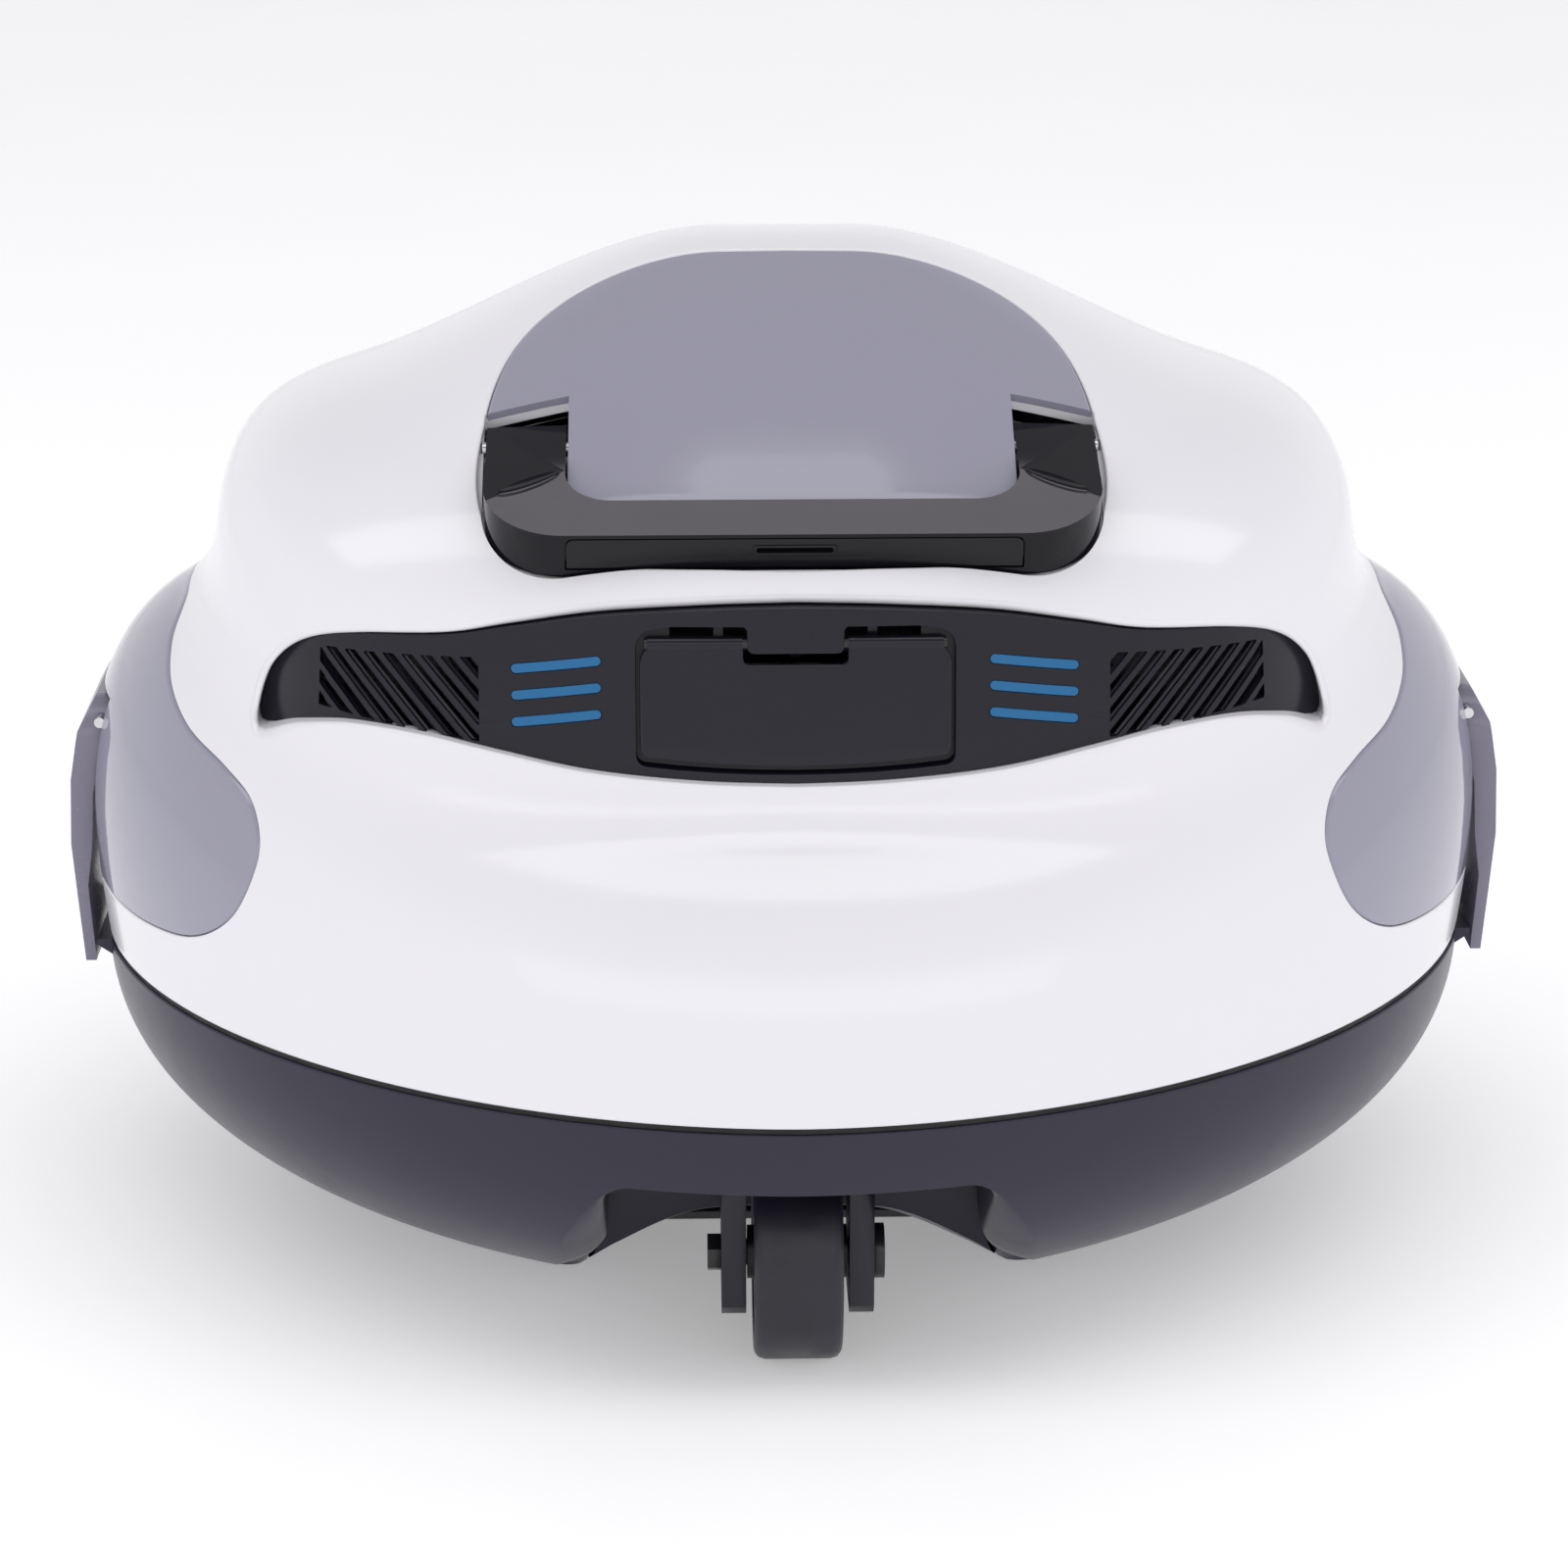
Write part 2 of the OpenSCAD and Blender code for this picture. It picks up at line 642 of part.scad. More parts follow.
impeller_z = 100;
shaft_r = 3;
module impeller() color(grey)
  translate([0, 0, impeller_z]) difference() {
    union() {
      cylinder(20, r = 9, $fn = 64);
      for (i = [0 : 4]) rotate([0, 0, 72 * i]) translate([7, -1, 10])
        rotate([38, 0, 0]) translate([0, 0, -8]) cube([impeller_d / 2 - 8, 2, 16]);
    }
    translate([0, 0, -1]) cylinder(30, r = shaft_r + fit, $fn = 32);
  }
module drive_shaft() color(metal) translate([0, 0, impeller_z - 2]) cylinder(104, r = shaft_r, $fn = 32);

motor_low_z = 194;
module motor_flange() color(black)
  translate([0, 0, duct_high_z]) difference() {
    cylinder(4.8, r = 32, $fn = 64);
    translate([0, 0, -1]) cylinder(10, r = shaft_r + 1, $fn = 48);
  }
module motor() color(metal)
  difference() {
    translate([0, 0, motor_low_z]) union() {
      cylinder(50, r = 27, $fn = 96);
      cylinder(56, r = 12, $fn = 64);
    }
    translate([0, 0, motor_low_z - 1]) cylinder(12, r = shaft_r + fit, $fn = 48);
  }

module rounded_block(size, r)
  linear_extrude(size.z) offset(r = r, $fn = 32) offset(delta = -r) square([size.x, size.y], center = true);

module battery_right() color(blue)
  translate([80, 0, base_top_z]) rounded_block([66, 150, 52], 9);
module battery_left() mirror([1, 0, 0]) battery_right();
module control_box() color(green)
  translate([82, 0, 142]) rounded_block([56, 96, 26], 6);

// ---------- lower hull ----------

notch_half = 50;
notch_low_half = 58;
notch_back_y = 96;
lip_z = 57;
notch_roof_z = 66;
web_thick = 3.5;
well_half_x = 12.5;
well_half_y = 34;
well_roof_z = 64;
swivel_r = 4;

module notch_cut(grow)
  both_ends() translate([0, -notch_back_y + grow, 0]) rotate([90, 0, 0]) linear_extrude(70 + grow)
    polygon([
      [-notch_low_half - grow, -1], [-notch_half - grow, 24], [-notch_half - grow, lip_z + grow - 8],
      [-notch_half + 8, lip_z + grow], [notch_half - 8, lip_z + grow],
      [notch_half + grow, lip_z + grow - 8], [notch_half + grow, 24], [notch_low_half + grow, -1]
    ]);
module notch_roof(grow)
  both_ends() translate([-32 - grow, -156 - grow, 40])
    cube([64 + 2 * grow, 52 + 2 * grow, notch_roof_z - 40 + grow]);

// bell-shaped hollow that slopes from the foot of the back wall of the notch down to the underside
ramp_slope = 23.8;
ramp_half = [
  [0, 22.4], [10, 22.2], [20.6, 21.7], [28, 20.6], [36.6, 17.7], [47, 12.8], [50, 11.3], [57, 7.3], [60, 5.5], [60, -40]
];
module notch_ramp(grow)
  both_ends() translate([0, -notch_back_y, 0]) rotate([-ramp_slope, 0, 0]) translate([0, 60, 0]) rotate([90, 0, 0])
    linear_extrude(90) offset(delta = grow)
      polygon(concat(ramp_half, [for (i = [len(ramp_half) - 1 : -1 : 1]) [-ramp_half[i].x, ramp_half[i].y]]));
module wheel_well(grow)
  both_sides() translate([wheel_x - well_half_x - grow, -well_half_y - grow, -1])
    cube([2 * (well_half_x + grow), 2 * (well_half_y + grow), well_roof_z + 1 + grow]);

intake_half_x = 38;
intake_y = 30;
intake_half_y = 9;
module intake_slots(grow)
  for (y = [-intake_y, intake_y]) translate([-intake_half_x - grow, y - intake_half_y - grow, -1])
    cube([2 * (intake_half_x + grow), 2 * (intake_half_y + grow), 30]);

// the rim of the hull lies below the seam and carries the gasket
rim_z = seam_z - 1.5;
module lower_hull() color(charcoal)
  resize([0, 0, 0]) difference() {
    union() {
      difference() {
        lower_outer();
        lower_inset(hull_wall);
      }
      intersection() {
        lower_outer();
        union() {
          notch_cut(web_thick);
          notch_ramp(web_thick);
          notch_roof(web_thick);
          wheel_well(3);
        }
      }
    }
    notch_cut(0);
    notch_ramp(0);
    notch_roof(0);
    wheel_well(0);
    intake_slots(0);
    both_ends() translate([0, -caster_y, 60]) cylinder(20, r = swivel_r + 0.1, $fn = 48);
    axle_line(axle_r + fit, well_half_x + 3.5);
    plate_screw_line(2.1);
    wiper_line(fit);
    latch_keeper_line(fit);
    translate([-far, -far, rim_z]) cube([2 * far, 2 * far, 10]);
  }

module waist_gasket() color(rubber)
  difference() {
    translate([0, 0, seam_z - 1.4]) linear_extrude(1.3) waist_plan(0.7);
    translate([0, 0, seam_z - 3]) linear_extrude(5) waist_plan(hull_wall - 0.2);
  }

module latch_keeper_line(grow)
  both_sides() translate([0, latch_half - 3 + grow, 0]) rotate([90, 0, 0]) linear_extrude(2 * (latch_half - 3 + grow))
    offset(delta = grow) polygon([[184, 76], [184, 72.4], [189, 70.8], [194.3, 74.4], [194.3, 76]]);
module latch_keepers() color(charcoal) latch_keeper_line(0);

plate_low_z = 2.4;
screw_head_z = plate_low_z + 0.1;
module intake_plate() color(black)
  difference() {
    translate([0, 0, plate_low_z]) rounded_block([150, 112, hull_floor - plate_low_z - 0.05], 10);
    intake_slots(-1);
    plate_screw_line(2.1);
    for (p = plate_screws) translate([p.x, p.y, 0]) cylinder(screw_head_z + 0.9, r = 3.8, $fn = 32);
    wiper_line(fit);
  }
plate_screws = [for (s = [[1, 1], [-1, 1], [1, -1], [-1, -1]]) [s.x * 64, s.y * 46]];
module hull_screws() color(metal)
  for (p = plate_screws) translate([p.x, p.y, screw_head_z]) union() {
    cylinder(0.8, r = 3.6, $fn = 32);
    cylinder(8, r = 1.9, $fn = 32);
  }
module plate_screw_line(r)
  for (p = plate_screws) translate([p.x, p.y, plate_low_z - 1]) cylinder(9, r = r, $fn = 32);

module wiper_line(grow)
  both_ends() translate([-57 - grow, -52 - grow, 1]) cube([114 + 2 * grow, 2.4 + 2 * grow, 8.8]);
module wiper_strips() color(rubber) wiper_line(0);

tray_low_z = 11;
tray_high_z = 64;
tray_x = 150;
tray_y = 110;
tray_wall = 2.5;
module filter_tray() color(grey)
  difference() {
    translate([0, 0, tray_low_z]) rounded_block([tray_x, tray_y, tray_high_z - tray_low_z], 22);
    translate([0, 0, tray_low_z + tray_wall]) rounded_block([tray_x - 2 * tray_wall, tray_y - 2 * tray_wall, 80], 22 - tray_wall);
    intake_slots(-2);
  }
module filter_screen() color(grey)
  translate([0, 0, tray_high_z + 0.1]) difference() {
    rounded_block([tray_x, tray_y, 3], 22);
    for (i = [-2.5 : 2.5]) for (j = [-1.5 : 1.5]) if (abs(i) + abs(j) < 4)
      translate([i * 22.5 - 9, j * 22.5 - 9, -1]) cube([18, 18, 5]);
  }

// ---------- side wheels ----------

wheel_r = wheel_d / 2;
axle_r = 4;
tyre_half = 8;
module axle_line(r, half)
  both_sides() translate([wheel_x - half, 0, wheel_r]) rotate([0, 90, 0]) cylinder(2 * half, r = r, $fn = 48);
module wheel_axles() color(metal) axle_line(axle_r, well_half_x + 2.8);
module wheel_hub() color(grey)
  translate([wheel_x, 0, wheel_r]) rotate([0, 90, 0]) difference() {
    union() {
      cylinder(2 * tyre_half - 2, r = wheel_r - 7, center = true, $fn = 96);
      cylinder(2 * tyre_half + 4, r = 8, center = true, $fn = 48);
    }
    cylinder(60, r = axle_r + fit, center = true, $fn = 48);
    for (a = [0 : 60 : 300]) rotate([0, 0, a]) translate([15, 0, 0]) cylinder(60, r = 4, center = true, $fn = 32);
  }
module wheel_tyre() color(rubber)
  translate([wheel_x, 0, wheel_r]) rotate([0, 90, 0]) rotate_extrude($fn = 96)
    polygon([
      [wheel_r - 7, -tyre_half], [wheel_r - 1.5, -tyre_half], [wheel_r, -tyre_half + 1.5],
      [wheel_r, tyre_half - 1.5], [wheel_r - 1.5, tyre_half], [wheel_r - 7, tyre_half]
    ]);
module wheel_hub_right() wheel_hub();
module wheel_hub_left() mirror([1, 0, 0]) wheel_hub();
module wheel_tyre_right() wheel_tyre();
module wheel_tyre_left() mirror([1, 0, 0]) wheel_tyre();

// ---------- steering wheels ----------

caster_r = caster_d / 2;
fork_gap = 13.4;
fork_arm = 6.4;
fork_half_y = 13;
fork_low_z = 15;
crown_low_z = 59.5;
crown_high_z = 63.5;
bolt_r = 3.5;

module fork() color(charcoal)
  translate([0, -caster_y, 0]) difference() {
    union() {
      both_sides() translate([fork_gap, 0, 0]) rotate([90, 0, 90]) linear_extrude(fork_arm)
        polygon([
          [-fork_half_y, crown_high_z], [-fork_half_y, fork_low_z + 3], [3 - fork_half_y, fork_low_z],
          [fork_half_y - 3, fork_low_z], [fork_half_y, fork_low_z + 3], [fork_half_y, crown_high_z]
        ]);
      translate([-fork_gap - tiny, -fork_half_y, crown_low_z])
        cube([2 * (fork_gap + tiny), 2 * fork_half_y, crown_high_z - crown_low_z]);
      translate([0, 0, crown_high_z - 1]) cylinder(notch_roof_z + web_thick + 4 - crown_high_z, r = swivel_r, $fn = 48);
      translate([0, 0, crown_high_z - 1]) cylinder(3, r = 9, $fn = 48);
    }
    translate([-40, 0, caster_r]) rotate([0, 90, 0]) cylinder(80, r = bolt_r + fit, $fn = 48);
  }
module front_fork() fork();
module rear_fork() at_rear() fork();

module swivel_ring() color(metal)
  translate([0, -caster_y, notch_roof_z + web_thick + 0.1]) difference() {
    cylinder(1.6, r = 8, $fn = 48);
    translate([0, 0, -1]) cylinder(5, r = swivel_r + fit, $fn = 48);
  }
module front_swivel_ring() swivel_ring();
module rear_swivel_ring() at_rear() swivel_ring();

module axle_bolt() color(metal)
  translate([0, -caster_y, caster_r]) rotate([0, 90, 0]) union() {
    cylinder(2 * (fork_gap + fork_arm) + 6, r = bolt_r, center = true, $fn = 48);
    translate([0, 0, fork_gap + fork_arm + 0.05]) cylinder(3, r = 7.2, $fn = 48);
    translate([0, 0, -fork_gap - fork_arm - 3.55]) cylinder(3.5, r = 5.2, $fn = 6);
  }
module front_axle_bolt() axle_bolt();
module rear_axle_bolt() at_rear() axle_bolt();

module caster_hub() color(charcoal)
  translate([0, -caster_y, caster_r]) rotate([0, 90, 0]) difference() {
    union() {
      cylinder(caster_width - 1, r = caster_r - 5, center = true, $fn = 96);
      cylinder(2 * fork_gap - 0.8, r = 7, center = true, $fn = 48);
    }
    cylinder(60, r = bolt_r + fit, center = true, $fn = 48);
  }
module caster_tyre() color(rubber)
  translate([0, -caster_y, caster_r]) rotate([0, 90, 0]) rotate_extrude($fn = 96)
    polygon([
      [caster_r - 5, -caster_width / 2], [caster_r - 2, -caster_width / 2],
      [caster_r - 0.6, 1.2 - caster_width / 2], [caster_r, 3 - caster_width / 2],
      [caster_r, caster_width / 2 - 3], [caster_r - 0.6, caster_width / 2 - 1.2],
      [caster_r - 2, caster_width / 2], [caster_r - 5, caster_width / 2]
    ]);
module front_caster_hub() caster_hub();
module rear_caster_hub() at_rear() caster_hub();
module front_caster_tyre() caster_tyre();
module rear_caster_tyre() at_rear() caster_tyre();

// ---------- parts ----------

top_cover();
top_window();
side_panel_left();
side_panel_right();
front_fascia();
rear_fascia();
front_light_bars();
rear_light_bars();
front_flap();
rear_flap();
front_flap_pin();
rear_flap_pin();
handle_bar();
handle_grip();
handle_pins();
latch_left();
latch_right();
latch_pins();
power_button();
button_bezel();
charge_socket();
charge_cap();
cover_screws();
pump_base();
inlet_grille();
pump_housing();
jet_duct();
impeller();
drive_shaft();
motor();
motor_flange();
battery_left();
battery_right();
control_box();
lower_hull();
waist_gasket();
latch_keepers();
intake_plate();
wiper_strips();
filter_tray();
filter_screen();
hull_screws();
wheel_hub_left();
wheel_tyre_left();
wheel_hub_right();
wheel_tyre_right();
wheel_axles();
front_swivel_ring();
rear_swivel_ring();
front_fork();
rear_fork();
front_axle_bolt();
rear_axle_bolt();
front_caster_hub();
rear_caster_hub();
front_caster_tyre();
rear_caster_tyre();
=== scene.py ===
"""Robotic pool cleaner: finished surfaces, materials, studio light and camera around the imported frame.

Shapes are worked out in millimetres and turned into metres when a mesh is made.
"""
import json
import math

import bmesh
import bpy
import numpy as np
from mathutils import Matrix, Vector

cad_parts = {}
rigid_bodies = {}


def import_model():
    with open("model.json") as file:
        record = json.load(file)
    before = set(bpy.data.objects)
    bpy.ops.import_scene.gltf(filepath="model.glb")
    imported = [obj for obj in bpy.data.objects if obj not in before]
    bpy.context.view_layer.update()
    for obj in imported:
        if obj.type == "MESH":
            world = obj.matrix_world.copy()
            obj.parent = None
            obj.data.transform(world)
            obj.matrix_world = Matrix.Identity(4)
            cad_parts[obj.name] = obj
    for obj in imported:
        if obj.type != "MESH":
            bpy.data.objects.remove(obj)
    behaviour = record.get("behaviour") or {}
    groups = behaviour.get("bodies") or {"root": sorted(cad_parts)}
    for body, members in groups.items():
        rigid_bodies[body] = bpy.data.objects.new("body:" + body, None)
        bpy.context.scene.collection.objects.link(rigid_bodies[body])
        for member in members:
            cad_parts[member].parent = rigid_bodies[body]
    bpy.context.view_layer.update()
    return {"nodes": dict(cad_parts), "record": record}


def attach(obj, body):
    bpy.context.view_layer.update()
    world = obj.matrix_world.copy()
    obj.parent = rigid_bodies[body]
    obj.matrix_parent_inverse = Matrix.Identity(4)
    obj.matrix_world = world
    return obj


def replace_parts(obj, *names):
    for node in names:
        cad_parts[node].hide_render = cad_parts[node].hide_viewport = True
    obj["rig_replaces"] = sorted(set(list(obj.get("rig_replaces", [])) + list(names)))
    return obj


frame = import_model()

MM = 0.001
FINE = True

# ---------------------------------------------------------------- body surface

SEAM_Z = 78.0
WAIST_A, WAIST_B, WAIST_POWER = 193.0, 173.5, 1.85
HOOD_A, HOOD_B, HOOD_POWER, HOOD_LEAN = 162.5, 129.5, 2.6, 0.16
SHOULDER_Z, HUMP_RISE = 230.0, 43.0
FRONT_DROP, FRONT_DROP_Y = 37.0, 123.5
HULL_DEPTH, HULL_FLOOR = 84.0, 5.0
COVER_WALL, HULL_WALL = 5.5, 3.5


def clamp01(v):
    return np.clip(v, 0.0, 1.0)


def ease(lo, hi, v):
    t = clamp01((v - lo) / (hi - lo))
    return t * t * (3 - 2 * t)


def soft_min(p, q, k):
    h = clamp01(0.5 + 0.5 * (q - p) / k)
    return q + (p - q) * h - k * h * (1 - h)


def soft_max(p, q, k):
    return -soft_min(-p, -q, k)


def plan_norm(x, y, a, b, n):
    return ((np.abs(x) / a) ** n + (np.abs(y) / b) ** n) ** (1 / n)


def deck_field(x, y, z, t):
    h = np.maximum(0.0, z - SEAM_Z)
    u, v = (x / WAIST_A) ** 2, (y / WAIST_B) ** 2
    side = u / np.maximum(1e-4, u + v)
    grow = 1 + 0.023 * np.sin(np.pi * clamp01(h / 113))
    r = plan_norm(x, y, WAIST_A * grow - t, WAIST_B - t, WAIST_POWER)
    p, q, top = 3 + 7 * side * side, 2.3 + 0.9 * side, 86 + 19 * side - t
    return ((r**p + (h / top) ** q) ** (1 / p) - 1) * WAIST_A * 0.8


def hood_top(x, y):
    hump = HUMP_RISE * (1 - ease(17.6, 149, np.abs(x))) * (1 - 0.72 * ease(0, 125.5, np.abs(y)))
    return SHOULDER_Z + hump - FRONT_DROP * (np.abs(y) / FRONT_DROP_Y) ** 2


def hood_length(z, t):
    return HOOD_B - 0.8 * HOOD_LEAN * (z - 160) - t


def hood_width(z, t):
    return HOOD_A - HOOD_LEAN * (z - 160) - t


def hood_field(x, y, z, t):
    wall = (plan_norm(x, y, hood_width(z, t), hood_length(z, t), HOOD_POWER) - 1) * HOOD_B
    return soft_max(wall, (z - hood_top(x, y) + t) * 0.93, 25)


def upper(p, t=0.0):
    x, y, z = p[..., 0], p[..., 1], p[..., 2]
    return soft_min(deck_field(x, y, z, t), hood_field(x, y, z, t), 7)


def lower(p, t=0.0):
    x, y, z = p[..., 0], p[..., 1], p[..., 2]
    r = plan_norm(x, y, WAIST_A - t, WAIST_B - t, WAIST_POWER)
    g = r**2.5 + (np.maximum(0.0, SEAM_Z - z) / (HULL_DEPTH - t)) ** 2.3
    return soft_max((np.sqrt(g) - 1) * WAIST_A * 0.7, HULL_FLOOR + t - z, 8)


def wall_field(inset):
    """Field of the curved wall of the hood, inset from its face."""

    def field(p, t=0.0):
        x, y, z = p[..., 0], p[..., 1], p[..., 2]
        s = inset + t
        return (plan_norm(x, y, hood_width(z, s), hood_length(z, s), HOOD_POWER) - 1) * HOOD_B

    return field


def gradient(field, p, eps=0.05):
    g = np.empty(p.shape)
    for k in range(3):
        step = np.zeros(3)
        step[k] = eps
        g[..., k] = field(p + step) - field(p - step)
    return g / (2 * eps)


def first_hit(start, way, length, field, t=0.0, steps=150):
    """Points where rays from start along way first enter the solid."""
    start = np.asarray(start, float)
    way = np.asarray(way, float)
    reach = np.linspace(0, length, steps)
    inside = field(start[:, None, :] + way * reach[:, None], t) < 0
    k = np.maximum(1, inside.argmax(1))
    lo, hi = reach[k - 1], reach[k]
    for _ in range(26):
        mid = (lo + hi) / 2
        hit = field(start + way * mid[:, None], t) < 0
        hi = np.where(hit, mid, hi)
        lo = np.where(hit, lo, mid)
    return start + way * hi[:, None]


def radial(az, el, field, t):
    """Surface points along directions from the middle of the seam; az and el in degrees."""
    a, e = np.radians(az), np.radians(el)
    d = np.stack([np.cos(e) * np.cos(a), np.cos(e) * np.sin(a), np.sin(e) + 0 * a], -1)
    lo, hi = np.full(d.shape[:-1], 30.0), np.full(d.shape[:-1], 330.0)
    centre = np.array([0, 0, SEAM_Z])
    for _ in range(30):
        mid = (lo + hi) / 2
        inside = field(centre + d * mid[..., None], t) < 0
        lo = np.where(inside, mid, lo)
        hi = np.where(inside, hi, mid)
    return centre + d * lo[..., None]


# ---------------------------------------------------------------- meshes


def make(name, verts, faces):
    mesh = bpy.data.meshes.new(name)
    mesh.from_pydata((np.asarray(verts) * MM).tolist(), [], faces)
    mesh.validate()
    mesh.update()
    obj = bpy.data.objects.new(name, mesh)
    bpy.context.scene.collection.objects.link(obj)
    return obj


def loft(name, rings, start="fan", end="fan"):
    """Closed solid through rings of equal length; each end is a fan to its middle or one flat face."""
    rings = [np.asarray(r, float) for r in rings]
    n = len(rings[0])
    verts = [v for r in rings for v in r]
    faces = []
    for k in range(len(rings) - 1):
        a, b = k * n, (k + 1) * n
        for i in range(n):
            j = (i + 1) % n
            faces.append((a + i, a + j, b + j, b + i))
    for which, ring, base in ((start, rings[0], 0), (end, rings[-1], (len(rings) - 1) * n)):
        first = base == 0
        if which == "flat":
            loop = list(range(base, base + n))
            faces.append(loop[::-1] if first else loop)
        else:
            c = len(verts)
            verts.append(ring.mean(0) if isinstance(which, str) else np.asarray(which, float))
            for i in range(n):
                j = (i + 1) % n
                faces.append((base + j, base + i, c) if first else (base + i, base + j, c))
    obj = make(name, verts, faces)
    outward(obj)
    return obj


def outward(obj):
    bm = bmesh.new()
    bm.from_mesh(obj.data)
    bmesh.ops.recalc_face_normals(bm, faces=bm.faces)
    if bm.calc_volume(signed=True) < 0:
        bmesh.ops.reverse_faces(bm, faces=bm.faces)
    bm.to_mesh(obj.data)
    bm.free()


def boolean(obj, cutters, operation="DIFFERENCE"):
    """Applies cutters one after another and removes them."""
    for cutter in cutters:
        mod = obj.modifiers.new("cut", "BOOLEAN")
        mod.object = cutter
        mod.operation = operation
        mod.solver = "MANIFOLD"
        bake(obj)
        drop(cutter)
    return obj


def bake(obj):
    graph = bpy.context.evaluated_depsgraph_get()
    graph.update()
    made = bpy.data.meshes.new_from_object(obj.evaluated_get(graph))
    obj.modifiers.clear()
    obj.data = made


def drop(obj):
    mesh = obj.data
    bpy.data.objects.remove(obj)
    bpy.data.meshes.remove(mesh)


def turned(obj, matrix):
    """Copy of obj with matrix built into its mesh; a mirror keeps its faces outward."""
    twin = obj.copy()
    twin.data = obj.data.copy()
    bpy.context.scene.collection.objects.link(twin)
    twin.data.transform(matrix)
    if matrix.determinant() < 0:
        twin.data.flip_normals()
    return twin


REAR = Matrix.Rotation(math.pi, 4, "Z")
MIRROR = Matrix.Scale(-1, 4, (1, 0, 0))


def fix_normals(obj, fields=(), angle=32):
    """Smooth shading with sharp edges by angle, and the exact normal where a vertex lies on a field."""
    mesh = obj.data
    mesh.shade_smooth()
    mesh.set_sharp_from_angle(angle=math.radians(angle))
    if not fields:
        even = obj.modifiers.new("even", "WEIGHTED_NORMAL")
        even.keep_sharp = True
        even.weight = 90
        bake(obj)
        return
    n = len(mesh.vertices)
    co = np.empty(n * 3)
    mesh.vertices.foreach_get("co", co)
    co = co.reshape(-1, 3) / MM
    loops = np.empty(len(mesh.loops), int)
    mesh.loops.foreach_get("vertex_index", loops)
    normals = np.empty(len(mesh.loops) * 3)
    mesh.corner_normals.foreach_get("vector", normals)
    normals = normals.reshape(-1, 3)
    face_normals = np.empty(len(mesh.polygons) * 3)
    mesh.polygons.foreach_get("normal", face_normals)
    face_normals = face_normals.reshape(-1, 3)
    totals = np.empty(len(mesh.polygons), int)
    mesh.polygons.foreach_get("loop_total", totals)
    per_loop = np.repeat(face_normals, totals, axis=0)
    for field in fields:
        g = gradient(field, co)
        size = np.linalg.norm(g, axis=1)
        near = np.abs(field(co)) / np.maximum(size, 1e-6) < 0.06
        unit = g / np.maximum(size, 1e-6)[:, None]
        along = (per_loop * unit[loops]).sum(1) > math.cos(math.radians(38))
        use = near[loops] & along
        normals[use] = unit[loops][use]
    mesh.normals_split_custom_set(normals.tolist())


def soften(obj, width, segments=2, angle=35):
    """Rounds the edges of a piece by width in millimetres."""
    weld = obj.modifiers.new("weld", "WELD")
    weld.merge_threshold = 1e-6
    bevel = obj.modifiers.new("bevel", "BEVEL")
    bevel.width = width * MM
    bevel.segments = segments
    bevel.limit_method = "ANGLE"
    bevel.angle_limit = math.radians(angle)
    bevel.use_clamp_overlap = True
    return obj


def simplify(obj):
    bm = bmesh.new()
    bm.from_mesh(obj.data)
    bmesh.ops.remove_doubles(bm, verts=bm.verts, dist=2e-6)
    bmesh.ops.dissolve_limit(bm, angle_limit=math.radians(0.5), verts=bm.verts, edges=bm.edges)
    bm.to_mesh(obj.data)
    bm.free()


def piece(obj, name, body, slot, *nodes):
    """Names a finished piece, gives it its material and body, and lets it stand for CAD nodes."""
    obj.name = name
    obj.data.name = name
    obj.data.materials.clear()
    obj.data.materials.append(MATERIALS[slot])
    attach(obj, body)
    if nodes:
        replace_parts(obj, *nodes)
    return obj


def block(lo, hi):
    lo, hi = np.asarray(lo, float), np.asarray(hi, float)
    corners = [(x, y) for x, y in ((lo[0], lo[1]), (hi[0], lo[1]), (hi[0], hi[1]), (lo[0], hi[1]))]
    return loft("block", [[(x, y, z) for x, y in corners] for z in (lo[2], hi[2])], "flat", "flat")


def turned_by(degrees, axis):
    return Matrix.Rotation(math.radians(degrees), 4, axis)


def moved_by(x, y, z):
    """Shift by millimetres."""
    return Matrix.Translation(Vector((x, y, z)) * MM)


def cylinder(radius, length, sides=64, centre=(0, 0, 0), axis="Z", rings=None):
    """Turned solid about an axis through centre; rings are (radius, height) pairs."""
    rings = rings or [(radius, 0), (radius, length)]
    a = np.linspace(0, 2 * math.pi, sides, endpoint=False)
    out = [np.stack([r * np.cos(a), r * np.sin(a), 0 * a + h], -1) for r, h in rings]
    obj = loft("round", out, "flat", "flat")
    turn = {"Z": Matrix(), "X": turned_by(90, "Y"), "Y": turned_by(90, "X")}
    obj.data.transform(Matrix.Translation(Vector(centre) * MM) @ turn[axis])
    return obj


FRONTWARD = turned_by(90, "X")


# ---------------------------------------------------------------- outlines


def curve(points, steps):
    """Smooth curve through given points."""
    pts = np.asarray(points, float)
    n = len(pts)
    out = []
    for i in range(n - 1):
        p, q, r, s = pts[max(0, i - 1)], pts[i], pts[i + 1], pts[min(n - 1, i + 2)]
        for k in range(steps):
            t = k / steps
            square, cube = 2 * p - 5 * q + 4 * r - s, 3 * q - p - 3 * r + s
            out.append(0.5 * (2 * q + (r - p) * t + square * t * t + cube * t**3))
    out.append(pts[-1])
    return np.array(out)


def mirrored(points):
    twin = points[-2:0:-1] * [-1, 1]
    return np.concatenate([points, twin])


